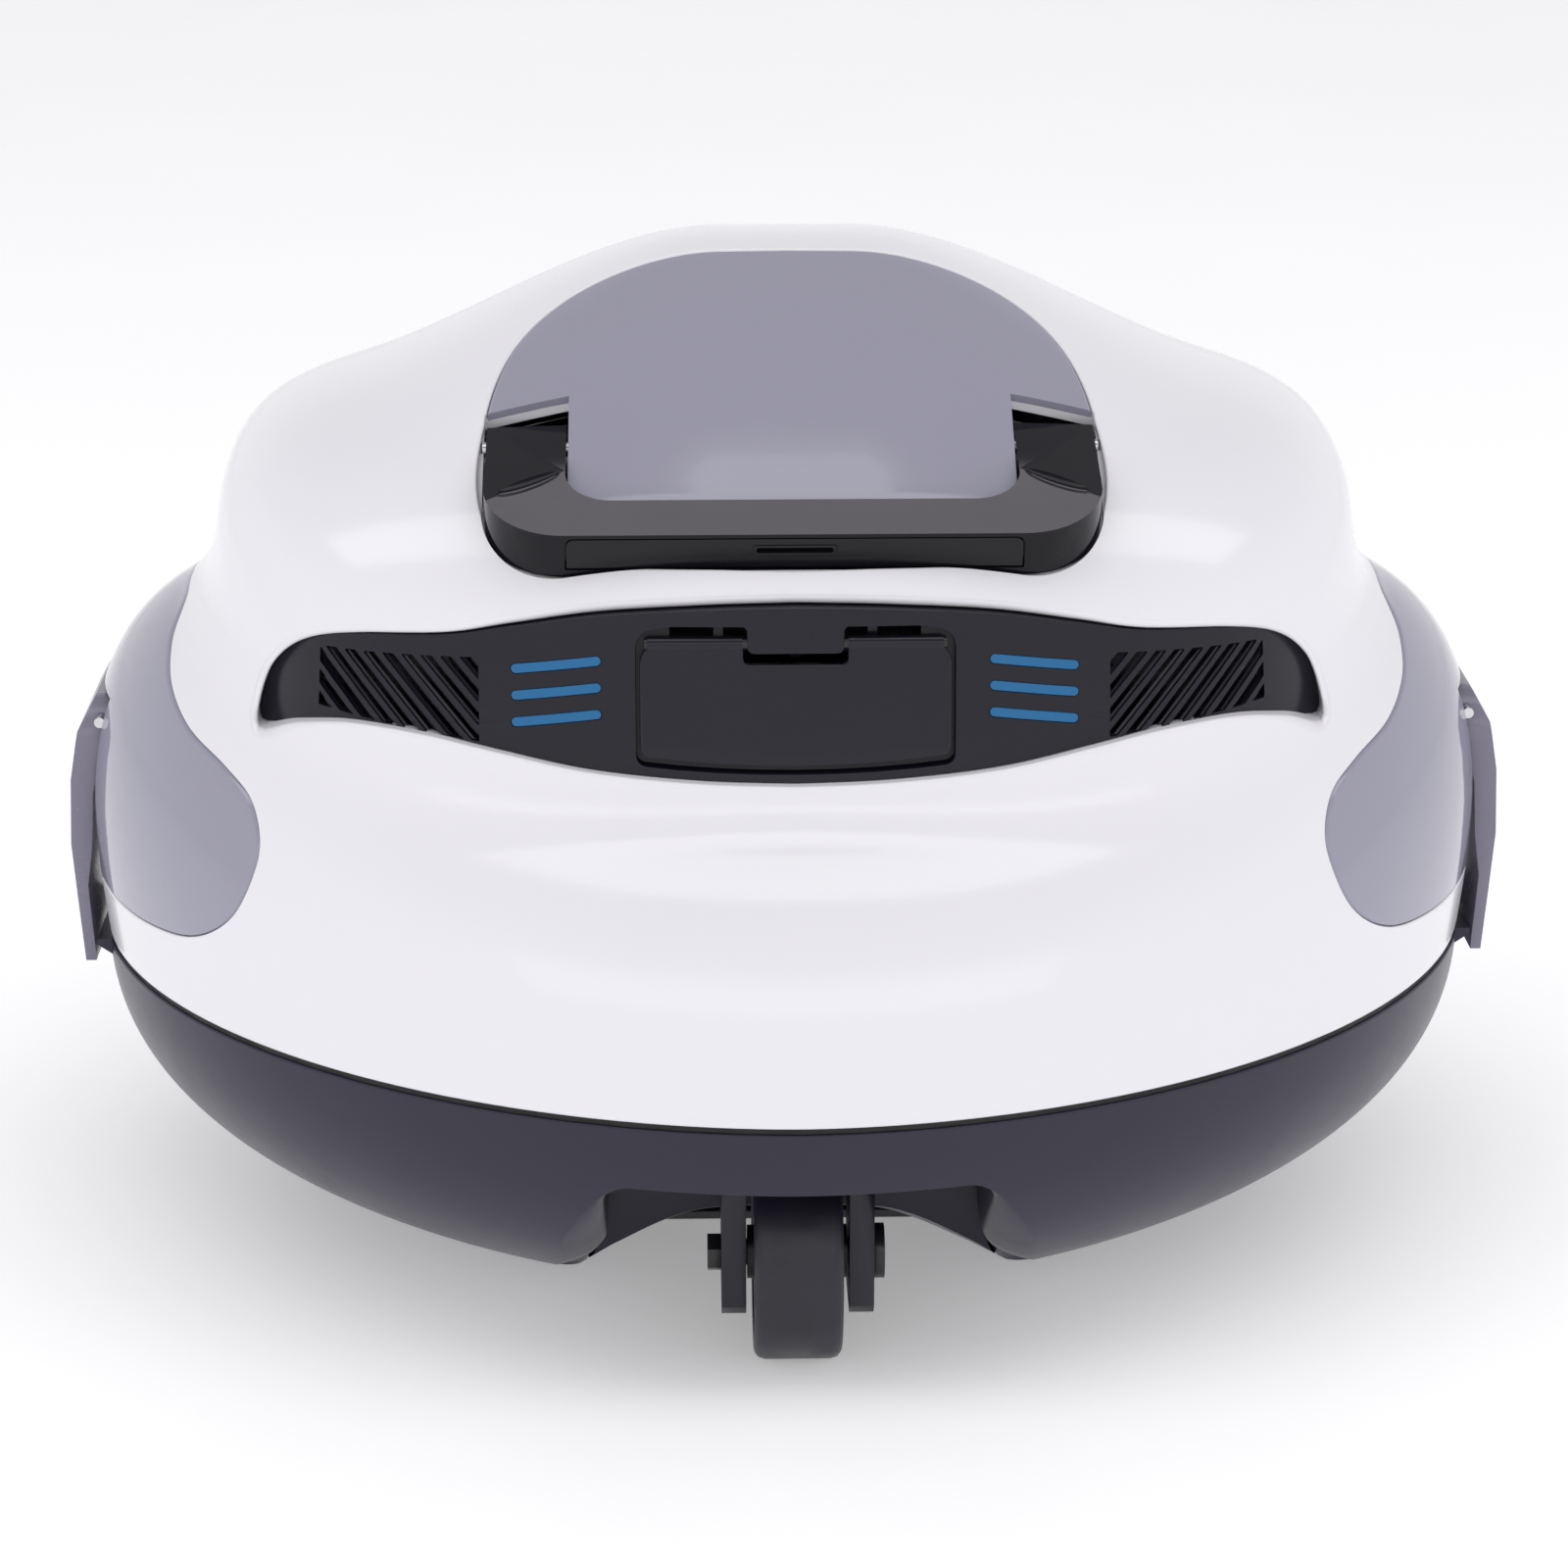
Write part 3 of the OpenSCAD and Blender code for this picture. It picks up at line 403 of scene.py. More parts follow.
def resample(points, spacing):
    """Closed polyline at even spacing, counter-clockwise."""
    area = 0.5 * np.sum(points[:, 0] * np.roll(points[:, 1], -1) - np.roll(points[:, 0], -1) * points[:, 1])
    if area < 0:
        points = points[::-1]
    ring = np.vstack([points, points[:1]])
    run = np.concatenate([[0], np.cumsum(np.linalg.norm(np.diff(ring, axis=0), axis=1))])
    n = int(run[-1] / spacing)
    at = np.linspace(0, run[-1], n, endpoint=False)
    return np.stack([np.interp(at, run, ring[:, k]) for k in (0, 1)], -1)


def side_normals(points, blur=1):
    """Outward normals of a counter-clockwise outline."""
    along = np.roll(points, -1, 0) - np.roll(points, 1, 0)
    n = np.stack([along[:, 1], -along[:, 0]], -1)
    n /= np.linalg.norm(n, axis=1)[:, None]
    for _ in range(blur):
        n = n + np.roll(n, 1, 0) + np.roll(n, -1, 0)
        n /= np.linalg.norm(n, axis=1)[:, None]
    return n


SPACING = 1.6 if FINE else 3.5

WINDOW_HALF = [
    (0, -18), (30, -19), (50, -22), (63, -28), (72, -38), (78, -54),
    (81, -76), (80.5, -90), (77, -99.5), (70, -106), (58, -109.8), (30, -113), (0, -114),
]
FASCIA_HALF = [
    (0, 199), (24, 198.4), (50, 196.6), (72, 193), (88, 189.8), (112, 187), (126, 183),
    (135, 175.5), (139.5, 165), (139.5, 157.5), (129, 161.4), (114, 164.4), (95, 164),
    (76, 161.2), (52, 157.2), (24, 154.8), (0, 154),
]
SIDE_HALF = [
    (0, 176), (20, 174.5), (40, 167), (56, 159.5), (72, 152.6), (88, 147), (100, 140),
    (107.5, 128), (105.5, 112.5), (93, 102), (72, 98), (40, 96.6), (0, 96.4),
]


class Face:
    """A way of looking at the body: outline points in two axes, thrown onto a surface along the third."""

    def __init__(self, lay, start, way, length):
        self.lay, self.start, self.way, self.length = lay, start, np.asarray(way, float), length

    def on(self, pts, field, t=0.0):
        p = self.lay(np.asarray(pts, float), self.start)
        return first_hit(p, self.way, self.length, field, t)


TOP = Face(lambda q, s: np.stack([q[:, 0], q[:, 1], 0 * q[:, 0] + s], -1), 300, (0, 0, -1), 200)
FRONT = Face(lambda q, s: np.stack([q[:, 0], 0 * q[:, 0] + s, q[:, 1]], -1), -195, (0, 1, 0), 190)
RIGHT = Face(lambda q, s: np.stack([0 * q[:, 0] + s, q[:, 0], q[:, 1]], -1), 230, (-1, 0, 0), 120)


def ring_at(face, outline, normals, offset, depth, field):
    """Outline moved sideways by offset and pushed in by depth along the face's way."""
    offset = np.broadcast_to(np.asarray(offset, float), (len(outline),))
    depth = np.broadcast_to(np.asarray(depth, float), (len(outline),))
    p = face.on(outline + normals * offset[:, None], field)
    return p + face.way * depth[:, None]


def inner_rings(face, outline, shares, depth, field):
    middle = outline.mean(0)
    out = []
    for f in shares:
        p = face.on(middle + (outline - middle) * f, field)
        out.append(p + face.way * depth)
    hub = face.on(middle[None], field)[0] + face.way * depth
    return out, hub


SHARES = (0.97, 0.93, 0.88, 0.82, 0.75, 0.68, 0.6, 0.52, 0.44, 0.36, 0.28, 0.2, 0.12, 0.05)


def panel(name, face, outline, thick, edge, field, gap=0.0):
    """Plate that follows the surface inside an outline, with rounded outer edges."""
    n = side_normals(outline)
    top, top_hub = inner_rings(face, outline - n * (gap + edge), SHARES, 0.0, field)
    low, low_hub = inner_rings(face, outline - n * gap, SHARES[1::2], thick, field)
    rings = low[::-1]
    rings.append(ring_at(face, outline, n, -gap, thick, field))
    for a in np.radians([0, 22, 45, 67, 90]):
        aside = -gap - edge * (1 - math.cos(a))
        rings.append(ring_at(face, outline, n, aside, edge * (1 - math.sin(a)), field))
    rings += top
    return loft(name, rings, tuple(low_hub), tuple(top_hub))


def pocket(face, outline, depth, edge, field, gap=0.0):
    """Cutter for a recess whose mouth is rounded by edge, which may vary round the outline."""
    n = side_normals(outline, 2)
    edge = np.broadcast_to(np.asarray(edge, float), (len(outline),))
    first = math.radians(14)
    mouth = outline + n * (gap + edge * (1 - math.sin(first)))[:, None]
    rings = [face.lay(mouth, face.start)]
    for a in (first, *np.radians([27, 40, 53, 66, 78, 90])):
        rings.append(
            ring_at(face, outline, n, gap + edge * (1 - math.sin(a)), edge * (1 - math.cos(a)), field)
        )
    rings.append(ring_at(face, outline, n, gap, depth, field))
    floor, hub = inner_rings(face, outline + n * gap, SHARES[1::2], depth, field)
    rings += floor
    return loft("pocket", rings, "flat", tuple(hub))


window_line = resample(mirrored(curve(WINDOW_HALF, 10)), SPACING)
fascia_line = resample(mirrored(curve(FASCIA_HALF, 10)), SPACING)
side_line = resample(mirrored(curve(SIDE_HALF, 10)), SPACING)


# ---------------------------------------------------------------- materials


class Shader:
    """Small helper that wires a Principled material from named nodes."""

    def __init__(self, name):
        self.mat = bpy.data.materials.new(name)
        self.mat.use_nodes = True
        self.nodes, self.links = self.mat.node_tree.nodes, self.mat.node_tree.links
        self.main = self.nodes["Principled BSDF"]
        self.coord = self.nodes.new("ShaderNodeTexCoord")

    def node(self, kind, **values):
        made = self.nodes.new(kind)
        for key, value in values.items():
            if hasattr(made, key):
                setattr(made, key, value)
            else:
                made.inputs[key].default_value = value
        return made

    def stretched(self, scale):
        m = self.node("ShaderNodeMapping")
        m.inputs["Scale"].default_value = scale
        self.links.new(self.coord.outputs["Object"], m.inputs["Vector"])
        return m.outputs["Vector"]

    def noise(self, scale, detail=4.0, rough=0.5, stretch=None):
        n = self.node("ShaderNodeTexNoise", Scale=scale, Detail=detail, Roughness=rough)
        source = self.stretched(stretch) if stretch else self.coord.outputs["Object"]
        self.links.new(source, n.inputs["Vector"])
        return n.outputs["Fac"]

    def ramp(self, source, stops):
        r = self.node("ShaderNodeValToRGB")
        while len(r.color_ramp.elements) < len(stops):
            r.color_ramp.elements.new(0.5)
        for element, (at, colour) in zip(r.color_ramp.elements, stops):
            element.position = at
            element.color = (*colour, 1) if len(colour) == 3 else colour
        self.links.new(source, r.inputs["Fac"])
        return r.outputs["Color"]

    def spread(self, source, lo, hi, from_lo=0.3, from_hi=0.7):
        m = self.node("ShaderNodeMapRange")
        m.inputs["From Min"].default_value = from_lo
        m.inputs["From Max"].default_value = from_hi
        m.inputs["To Min"].default_value = lo
        m.inputs["To Max"].default_value = hi
        self.links.new(source, m.inputs["Value"])
        return m.outputs["Result"]

    def blend(self, kind, a, b, factor=0.5):
        m = self.node("ShaderNodeMix")
        m.data_type = "FLOAT" if kind == "FLOAT" else "RGBA"
        if kind != "FLOAT":
            m.blend_type = kind
        m.inputs["Factor"].default_value = factor
        pick = (2, 3) if kind == "FLOAT" else (6, 7)
        self.links.new(a, m.inputs[pick[0]])
        self.links.new(b, m.inputs[pick[1]])
        return m.outputs[0 if kind == "FLOAT" else 2]

    def bump(self, source, strength, distance, under=None):
        b = self.node("ShaderNodeBump", Strength=strength, Distance=distance)
        self.links.new(source, b.inputs["Height"])
        if under is not None:
            self.links.new(under, b.inputs["Normal"])
        return b.outputs["Normal"]

    def put(self, socket, source):
        self.links.new(source, self.main.inputs[socket])

    def set(self, **values):
        for key, value in values.items():
            self.main.inputs[key.replace("_", " ")].default_value = value


def shades(colour, amount):
    c = np.array(colour)
    return tuple(c * (1 - amount)), tuple(np.minimum(1, c * (1 + amount)))


def moulded(name, colour, rough, grain=0.0, vary=0.03, marks=0.04, coat=0.0, ior=1.5, wave=0.0):
    """Injection-moulded plastic: faint colour drift, handling marks in the gloss, and a fine grain."""
    s = Shader(name)
    dark, light = shades(colour, vary)
    drift = s.noise(9, 3)
    s.put("Base Color", s.ramp(drift, [(0.3, dark), (0.7, light)]))
    smears = s.noise(38, 5, 0.6)
    hairs = s.noise(60, 2, 0.5, (1, 14, 5))
    gloss = s.blend("FLOAT", s.spread(smears, rough - marks * 0.5, rough + marks, 0.35, 0.7),
                    s.spread(hairs, rough - marks * 0.3, rough + marks * 0.8, 0.45, 0.75), 0.35)
    s.put("Roughness", gloss)
    normal = s.bump(s.noise(5.5, 2), 0.25, 0.0006 * wave, None) if wave else None
    if grain:
        s.put("Normal", s.bump(s.noise(2400, 3, 0.6), grain, 0.00006, normal))
    else:
        s.put("Normal", s.bump(s.noise(900, 2), 0.05, 0.00003, normal))
    s.set(IOR=ior)
    if coat:
        s.set(Coat_Weight=coat, Coat_Roughness=0.03)
    return s.mat


def rubbery(name, colour, rough=0.62, grain=0.5, sheen=0.15):
    """Soft rubber: powdery, pitted, greyer where it is scuffed."""
    s = Shader(name)
    dark, light = shades(colour, 0.18)
    scuff = s.noise(55, 6, 0.65)
    s.put("Base Color", s.ramp(scuff, [(0.35, dark), (0.62, light), (0.85, tuple(np.array(colour) * 1.9))]))
    s.put("Roughness", s.spread(s.noise(120, 4), rough - 0.06, rough + 0.12))
    s.put("Normal", s.bump(s.noise(1700, 4, 0.7), grain, 0.00008))
    s.set(Sheen_Weight=sheen, Sheen_Roughness=0.5)
    return s.mat


def metal(name, colour, rough=0.24, stretch=(1, 1, 40)):
    """Turned or drawn metal with fine lines and small stains."""
    s = Shader(name)
    dark, light = shades(colour, 0.08)
    lines = s.noise(420, 3, 0.6, stretch)
    s.put("Base Color", s.ramp(s.noise(60, 4), [(0.35, dark), (0.65, light)]))
    s.put("Roughness", s.spread(lines, rough - 0.07, rough + 0.12))
    s.put("Normal", s.bump(lines, 0.12, 0.00004))
    s.set(Metallic=1.0)
    return s.mat


def wrapped(name, colour):
    """Heat-shrunk sleeve over cells: soft wrinkles and a satin skin."""
    s = Shader(name)
    dark, light = shades(colour, 0.1)
    s.put("Base Color", s.ramp(s.noise(30, 4), [(0.35, dark), (0.65, light)]))
    s.put("Roughness", s.spread(s.noise(80, 4), 0.28, 0.42))
    fine = s.bump(s.noise(260, 3), 0.2, 0.0001)
    s.put("Normal", s.bump(s.noise(34, 3, 0.5, (1, 0.35, 3)), 0.35, 0.0006, fine))
    return s.mat


MATERIALS = {
    "white_shell": moulded("white_shell", (0.845, 0.835, 0.87), 0.17, vary=0.006, marks=0.03, wave=0.35,
                           coat=0.25),
    "smoke_panel": moulded("smoke_panel", (0.315, 0.308, 0.385), 0.09, vary=0.015, marks=0.02, wave=0.2,
                           coat=0.35),
    "black_gloss": moulded("black_gloss", (0.006, 0.0055, 0.0085), 0.10, vary=0.1, marks=0.04, ior=1.3),
    "black_satin": moulded("black_satin", (0.009, 0.0078, 0.0145), 0.23, grain=0.06, vary=0.07, marks=0.05,
                           ior=1.4),
    "light_bar": moulded("light_bar", (0.014, 0.140, 0.330), 0.24, vary=0.04, marks=0.04, ior=1.4),
    "steel": metal("steel", (0.62, 0.62, 0.64)),
    "motor_case": metal("motor_case", (0.5, 0.5, 0.52), 0.32, (1, 1, 8)),
    "grip_rubber": moulded("grip_rubber", (0.007, 0.0065, 0.009), 0.24, grain=0.06, vary=0.1, marks=0.06,
                           ior=1.36),
    "gasket": rubbery("gasket", (0.006, 0.006, 0.007), 0.6, 0.3, 0.0),
    "latch_grey": moulded("latch_grey", (0.215, 0.20, 0.265), 0.26, grain=0.12, vary=0.04, marks=0.05),
    "inner_plastic": moulded("inner_plastic", (0.045, 0.045, 0.052), 0.42, grain=0.35, vary=0.1),
    "impeller_plastic": moulded("impeller_plastic", (0.42, 0.43, 0.47), 0.36, grain=0.2, vary=0.05),
    "battery_wrap": wrapped("battery_wrap", (0.05, 0.14, 0.35)),
    "control_case": moulded("control_case", (0.06, 0.11, 0.09), 0.45, grain=0.4, vary=0.12),
    "hull_charcoal": moulded("hull_charcoal", (0.022, 0.019, 0.038), 0.31, grain=0.2, vary=0.05, marks=0.06,
                             ior=1.42),
    "filter_plastic": moulded("filter_plastic", (0.36, 0.37, 0.40), 0.45, grain=0.3, vary=0.05),
    "hub_plastic": moulded("hub_plastic", (0.020, 0.019, 0.023), 0.36, grain=0.2, vary=0.1),
    "tyre_rubber": rubbery("tyre_rubber", (0.010, 0.009, 0.0175), 0.36, 0.15, 0.0),
    "fork_plastic": moulded("fork_plastic", (0.011, 0.0098, 0.018), 0.32, grain=0.14, vary=0.08, ior=1.44),
    "bolt_black": moulded("bolt_black", (0.012, 0.012, 0.014), 0.3, grain=0.1, vary=0.1),
}

# ---------------------------------------------------------------- body shells

COLUMNS = 480 if FINE else 200
ROWS = 150 if FINE else 56
AZ = np.linspace(0, 360, COLUMNS, endpoint=False)


def waist_ring(inset, z):
    c, s = np.cos(np.radians(AZ)), np.sin(np.radians(AZ))
    r = 1 / plan_norm(c, s, WAIST_A - inset, WAIST_B - inset, WAIST_POWER)
    return np.stack([r * c, r * s, 0 * r + z], -1)


def shell(name, field, wall, up, rim_z, lip):
    """Half of the body as a hollow shell with a rounded rim."""
    rings = [radial(AZ, up * el, field, 0) for el in np.linspace(89.4, 0.75, ROWS)]
    for a in np.radians([0, 30, 60, 90]):
        rings.append(waist_ring(lip * (1 - math.cos(a)), rim_z + up * lip * (1 - math.sin(a))))
    rings.append(waist_ring(wall, rim_z))
    rings += [radial(AZ, up * el, field, wall) for el in np.linspace(1.5, 88.5, ROWS // 3)]
    return loft(name, rings)


def core(field, inset, up, base_z):
    """Solid half of the body, inset from its surface."""
    rings = [waist_ring(inset, base_z)]
    rings += [radial(AZ[::2], up * el, field, inset) for el in np.linspace(2, 88.5, ROWS // 3)]
    rings[0] = rings[0][::2]
    return loft("core", rings, "flat", "fan")


def inside(obj, field, inset, up, base_z):
    return boolean(obj, [core(field, inset, up, base_z)], "INTERSECT")


# ---------------------------------------------------------------- handle plane

PIVOT_Y, PIVOT_Z, HANDLE_DEG = -70.4, 228.0, 22.0
ARM_IN, ARM_OUT = 58.5, 79.4
BAR_IN, BAR_OUT = 31.5, 46.5
CORNER_IN, CORNER_OUT = 12, 21
NOTCH_LINE, PIN_R = 10.5, 2.0
HANDLE_HALF = 6.5
PLANE = moved_by(0, PIVOT_Y, PIVOT_Z) @ turned_by(HANDLE_DEG, "X")


def arc(cx, cy, r, a0, a1, n):
    a = np.radians(np.linspace(a0, a1, n))
    return np.stack([cx + r * np.cos(a), cy + r * np.sin(a)], -1)


def handle_outline(grow, back):
    """U outline of the handle in its own plane, counter-clockwise."""
    n = 20 if FINE else 9
    out_x, out_v, r_out = ARM_OUT + grow, -BAR_OUT - grow, CORNER_OUT + grow
    in_x, in_v, r_in = ARM_IN - grow, grow - BAR_IN, CORNER_IN - grow
    inner = np.concatenate([arc(in_x - r_in, in_v + r_in, r_in, 0, -90, n),
                            arc(r_in - in_x, in_v + r_in, r_in, 270, 180, n)])
    outer = np.concatenate([arc(r_out - out_x, out_v + r_out, r_out, 180, 270, n),
                            arc(out_x - r_out, out_v + r_out, r_out, 270, 360, n)])
    ends = np.array([[-in_x, back], [-out_x, back]]), np.array([[out_x, back], [in_x, back]])
    return np.concatenate([outer, ends[1], inner, ends[0]])


def prism(name, outline, low, high, place=PLANE):
    """Straight solid over an outline in the plane of place, between two heights."""
    rings = [np.column_stack([outline, np.full(len(outline), z)]) for z in (low, high)]
    obj = loft(name, rings, "flat", "flat")
    obj.data.transform(place)
    return obj


def tongue(grow):
    """The part of the window between the arms, its front edge round about the pivot line."""
    xs = np.linspace(grow - ARM_IN, ARM_IN - grow, 49 if FINE else 25)
    rings = []
    for x in xs:
        over = min(max(0.0, abs(x) - (ARM_IN - CORNER_IN)), CORNER_IN - grow)
        radius = BAR_IN - CORNER_IN - grow + math.sqrt(max(0.0, CORNER_IN**2 - over**2))
        ring = arc(0, 0, radius, 90, 270, 33)
        ring = np.concatenate([[[25, radius]], ring, [[25, -radius]]])
        rings.append(np.column_stack([np.full(len(ring), x), ring]))
    obj = loft("tongue", rings, "flat", "flat")
    obj.data.transform(PLANE)
    return obj


def handle_bay():
    """Everything of the window in front of the notch line, except the tongue."""
    bay = block((-120, -80, -30), (120, NOTCH_LINE, 60))
    bay.data.transform(PLANE)
    return boolean(bay, [tongue(0.6)])


# ---------------------------------------------------------------- upper cover


def slope_place(x, y):
    z = first_hit([[x, y, 300]], (0, 0, -1), 200, upper)[0][2]
    return moved_by(x, y, z) @ turned_by(-27, "X")


BUTTON_AT, SOCKET_AT = slope_place(24, 62), slope_place(-24, 62)


def bore(place, radius, low, high):
    obj = cylinder(radius, 1, 72, rings=[(radius, low), (radius, high)])
    obj.data.transform(place)
    return obj


def fascia_edge():
    x, z = np.abs(fascia_line[:, 0]), fascia_line[:, 1]
    return np.maximum(1.0 + 2.6 * ease(166, 186, z), 1.0 + 1.6 * ease(122, 138, x))


def latch_well(grow=0.0):
    return block((183 - grow, -28 - grow, 60), (240, 28 + grow, 148 + grow))


def top_cover():
    obj = shell("cover", upper, COVER_WALL, 1, SEAM_Z, 0.9)
    tub = prism("tub", handle_outline(4, NOTCH_LINE), -HANDLE_HALF - 4, 60)
    boolean(obj, [inside(tub, upper, 1.0, 1, 60)], "UNION")
    for side in (1, -1):
        back = block((179, -31, SEAM_Z + 0.01), (225, 31, 151))
        if side < 0:
            back = swap(back, MIRROR)
        boolean(obj, [inside(back, upper, 1.0, 1, 60)], "UNION")
    cutters = [pocket(TOP, window_line, 2.6, 0.9, upper, 0.35)]
    mouth = pocket(FRONT, fascia_line, 14, fascia_edge(), upper)
    cutters += [turned(mouth, REAR), mouth]
    side = pocket(RIGHT, side_line, 2.6, 0.7, upper, 0.3)
    cutters += [turned(side, MIRROR), side]
    cutters.append(prism("bay", handle_outline(0.8, NOTCH_LINE), -7.5, 60))
    for swing in (6, 12, 18):
        turn = PLANE @ turned_by(-swing, "X")
        cutters.append(prism("swept", handle_outline(0.7, 0), -6.5, 60, turn))
    well = latch_well()
    cutters += [turned(well, MIRROR), well, bore(BUTTON_AT, 12.2, -12, 30), bore(SOCKET_AT, 13.2, -16, 30)]
    for s in (1, -1):
        cutters.append(cylinder(PIN_R + 0.05, 29, 32, (52.5 if s > 0 else -81.5, PIVOT_Y, PIVOT_Z), "X"))
    boolean(obj, cutters)
    fix_normals(obj, [upper])
    return piece(obj, "cover_shell", "cover", "white_shell", "top_cover")


def swap(obj, matrix):
    twin = turned(obj, matrix)
    drop(obj)
    return twin


def top_window():
    obj = panel("window", TOP, window_line, 2.4, 0.9, upper)
    boolean(obj, [handle_bay()])
    fix_normals(obj, [upper])
    return piece(obj, "window_panel", "cover", "smoke_panel", "top_window")


def side_panels():
    right = panel("side", RIGHT, side_line, 2.4, 0.8, upper)
    boolean(right, [latch_well()])
    left = turned(right, MIRROR)
    for obj, side in ((right, "right"), (left, "left")):
        fix_normals(obj, [upper])
        piece(obj, "side_cover_" + side, "cover", "smoke_panel", "side_panel_" + side)


# ---------------------------------------------------------------- jet outlets

FASCIA_INSET = 3.0
wall3 = wall_field(FASCIA_INSET)
DOOR_HALF = 39.6
DOOR_TILT = math.atan(0.8 * HOOD_LEAN)
PIN_Z = 189.4
PIN_Y = -(hood_length(PIN_Z, FASCIA_INSET + 1.9))


def rounded(points, radii, n=8):
    """Closed polygon with its corners rounded."""
    pts = [np.asarray(p, float) for p in points]
    n = n if FINE else 4
    out = []
    for i, (p, r) in enumerate(zip(pts, radii)):
        a, b = pts[i - 1] - p, pts[(i + 1) % len(pts)] - p
        la, lb = np.linalg.norm(a), np.linalg.norm(b)
        a, b = a / la, b / lb
        half = math.acos(float(np.clip(a @ b, -1, 1))) / 2
        if r <= 0 or half > 1.55:
            out.append(p)
            continue
        t = min(r / math.tan(half), la * 0.49, lb * 0.49)
        r = t * math.tan(half)
        centre = p + (a + b) / np.linalg.norm(a + b) * r / math.sin(half)
        s, e = p + a * t - centre, p + b * t - centre
        a0, a1 = math.atan2(s[1], s[0]), math.atan2(e[1], e[0])
        turn = (a1 - a0 + math.pi) % (2 * math.pi) - math.pi
        for k in range(n + 1):
            ang = a0 + turn * k / n
            out.append(centre + r * np.array([math.cos(ang), math.sin(ang)]))
    return np.array(out)


def bowed(half, low_mid, low_end, count=9):
    """Lower edge that hangs lowest in the middle, from left to right."""
    xs = np.linspace(-half, half, count)
    return [(x, low_mid + (low_end - low_mid) * (x / half) ** 2) for x in xs]


def recess_outline():
    low = bowed(40.6, 156.4, 158.6)
    right = [(40.6, 192.4), (32, 194), (12.4, 194), (12.2, 187.2)]
    top = right + [(-x, z) for x, z in right[::-1]]
    radii = [2.6] + [0] * 7 + [2.6] + [4.5, 4.5, 0.9, 1.5, 1.5, 0.9, 4.5, 4.5]
    return rounded(low + top, radii)


def strip(x0, z0, x1, z1, r, n=10):
    """Bar with round ends between two points of a front view."""
    a = math.degrees(math.atan2(z1 - z0, x1 - x0))
    return np.concatenate([arc(x1, z1, r, a - 90, a + 90, n), arc(x0, z0, r, a + 90, a + 270, n)])


BAR_FROM, BAR_TO, BAR_FALL, BAR_R = 50.6, 71.2, 2.8, 1.2
BAR_STARTS = (178.2, 171.4, 185.0)


def bar_lines(grow, spacing):
    """Outlines of the three bars on each side of the opening, right then left."""
    out = []
    for z in BAR_STARTS:
        right = (BAR_FROM, z, BAR_TO, z - BAR_FALL)
        left = (-BAR_TO, z - BAR_FALL, -BAR_FROM, z)
        out += [resample(strip(*ends, BAR_R + grow), spacing) for ends in (right, left)]
    return out


def wall_pocket(outline, depth, edge=0.3, gap=0.0):
    """Straight cutter into the fascia whose floor follows the curved wall."""
    n = side_normals(outline)
    rings = [FRONT.lay(outline + n * (gap + edge), FRONT.start)]
    rings.append(ring_at(FRONT, outline, n, gap + edge, 0.0, wall3))
    rings.append(ring_at(FRONT, outline, n, gap + edge * 0.3, edge * 0.3, wall3))
    rings.append(ring_at(FRONT, outline, n, gap, edge, wall3))
    rings.append(ring_at(FRONT, outline, n, gap, depth, wall3))
    return loft("wall_pocket", rings, "flat", "flat")


def grille_cutters():
    """Slanting slots, wider at the face than at the back."""
    out = []
    slope = math.radians(48)
    low, high = 158, 190
    dx = (high - low) / 2 / math.tan(slope)
    for wide in (2.6, 1.3):
        w = wide / 2 / math.sin(slope)
        for k in range(-6, 7):
            x = 101.7 + k * SLOT_PITCH / math.sin(slope)
            quad = [(x - dx - w, low), (x - dx + w, low), (x + dx + w, high), (x + dx - w, high)]
            out.append((quad, wide))
    return out


def clipped(quad, region):
    """Convex polygon quad cut to the convex polygon region, both counter-clockwise."""
    poly = [np.array(p, float) for p in quad]
    for i in range(len(region)):
        a, b = np.array(region[i], float), np.array(region[(i + 1) % len(region)], float)
        edge = b - a
        side = [edge[0] * (p - a)[1] - edge[1] * (p - a)[0] for p in poly]
        made = []
        for j, p in enumerate(poly):
            q, s, t = poly[(j + 1) % len(poly)], side[j], side[(j + 1) % len(poly)]
            if s >= 0:
                made.append(p)
            if s * t < 0:
                made.append(p + (q - p) * s / (s - t))
        poly = made
        if len(poly) < 3:
            return None
    return np.array(poly)


SLOT_PITCH = 4.0
GRILLE = [(80.8, 162.9), (123.4, 166.4), (122.6, 181.6), (80.8, 184.4)]


def fascia():
    obj = panel("fascia", FRONT, fascia_line, 6.0, 0.3, wall3, 0.25)
    cutters = [wall_pocket(resample(recess_outline(), 1.2), 4.2)]
    cutters.append(block((-34, -195, 162), (34, -100, 185)))
    for x0, x1 in ((-32, -20.8), (-18.4, -1.3), (1.3, 18.4), (20.8, 32)):
        cutters.append(block((x0, -118.6, 180), (x1, -100, 193.2)))
    cutters.append(cylinder(1.6, 30, 32, (-15, PIN_Y, PIN_Z), "X"))
    for line in bar_lines(0.12, 0.5):
        cutters.append(wall_pocket(line, 3.2, 0.15))
    for quad, wide in grille_cutters():
        poly = clipped(quad, GRILLE)
        if poly is None:
            continue
        for s in (1, -1):
            q = poly if s > 0 else poly[::-1] * [-1, 1]
            if wide > 2:
                cutters.append(wall_pocket(resample(q, 0.9), 1.6, 0.25))
            else:
                cutters.append(prism("slot", q, 60, 195, FRONTWARD))
    boolean(obj, cutters)
    return obj


def fascias():
    front = fascia()
    rear = turned(front, REAR)
    for obj, end in ((front, "front"), (rear, "rear")):
        fix_normals(obj, [wall3])
        piece(obj, end + "_jet_fascia", "cover", "black_satin", end + "_fascia")


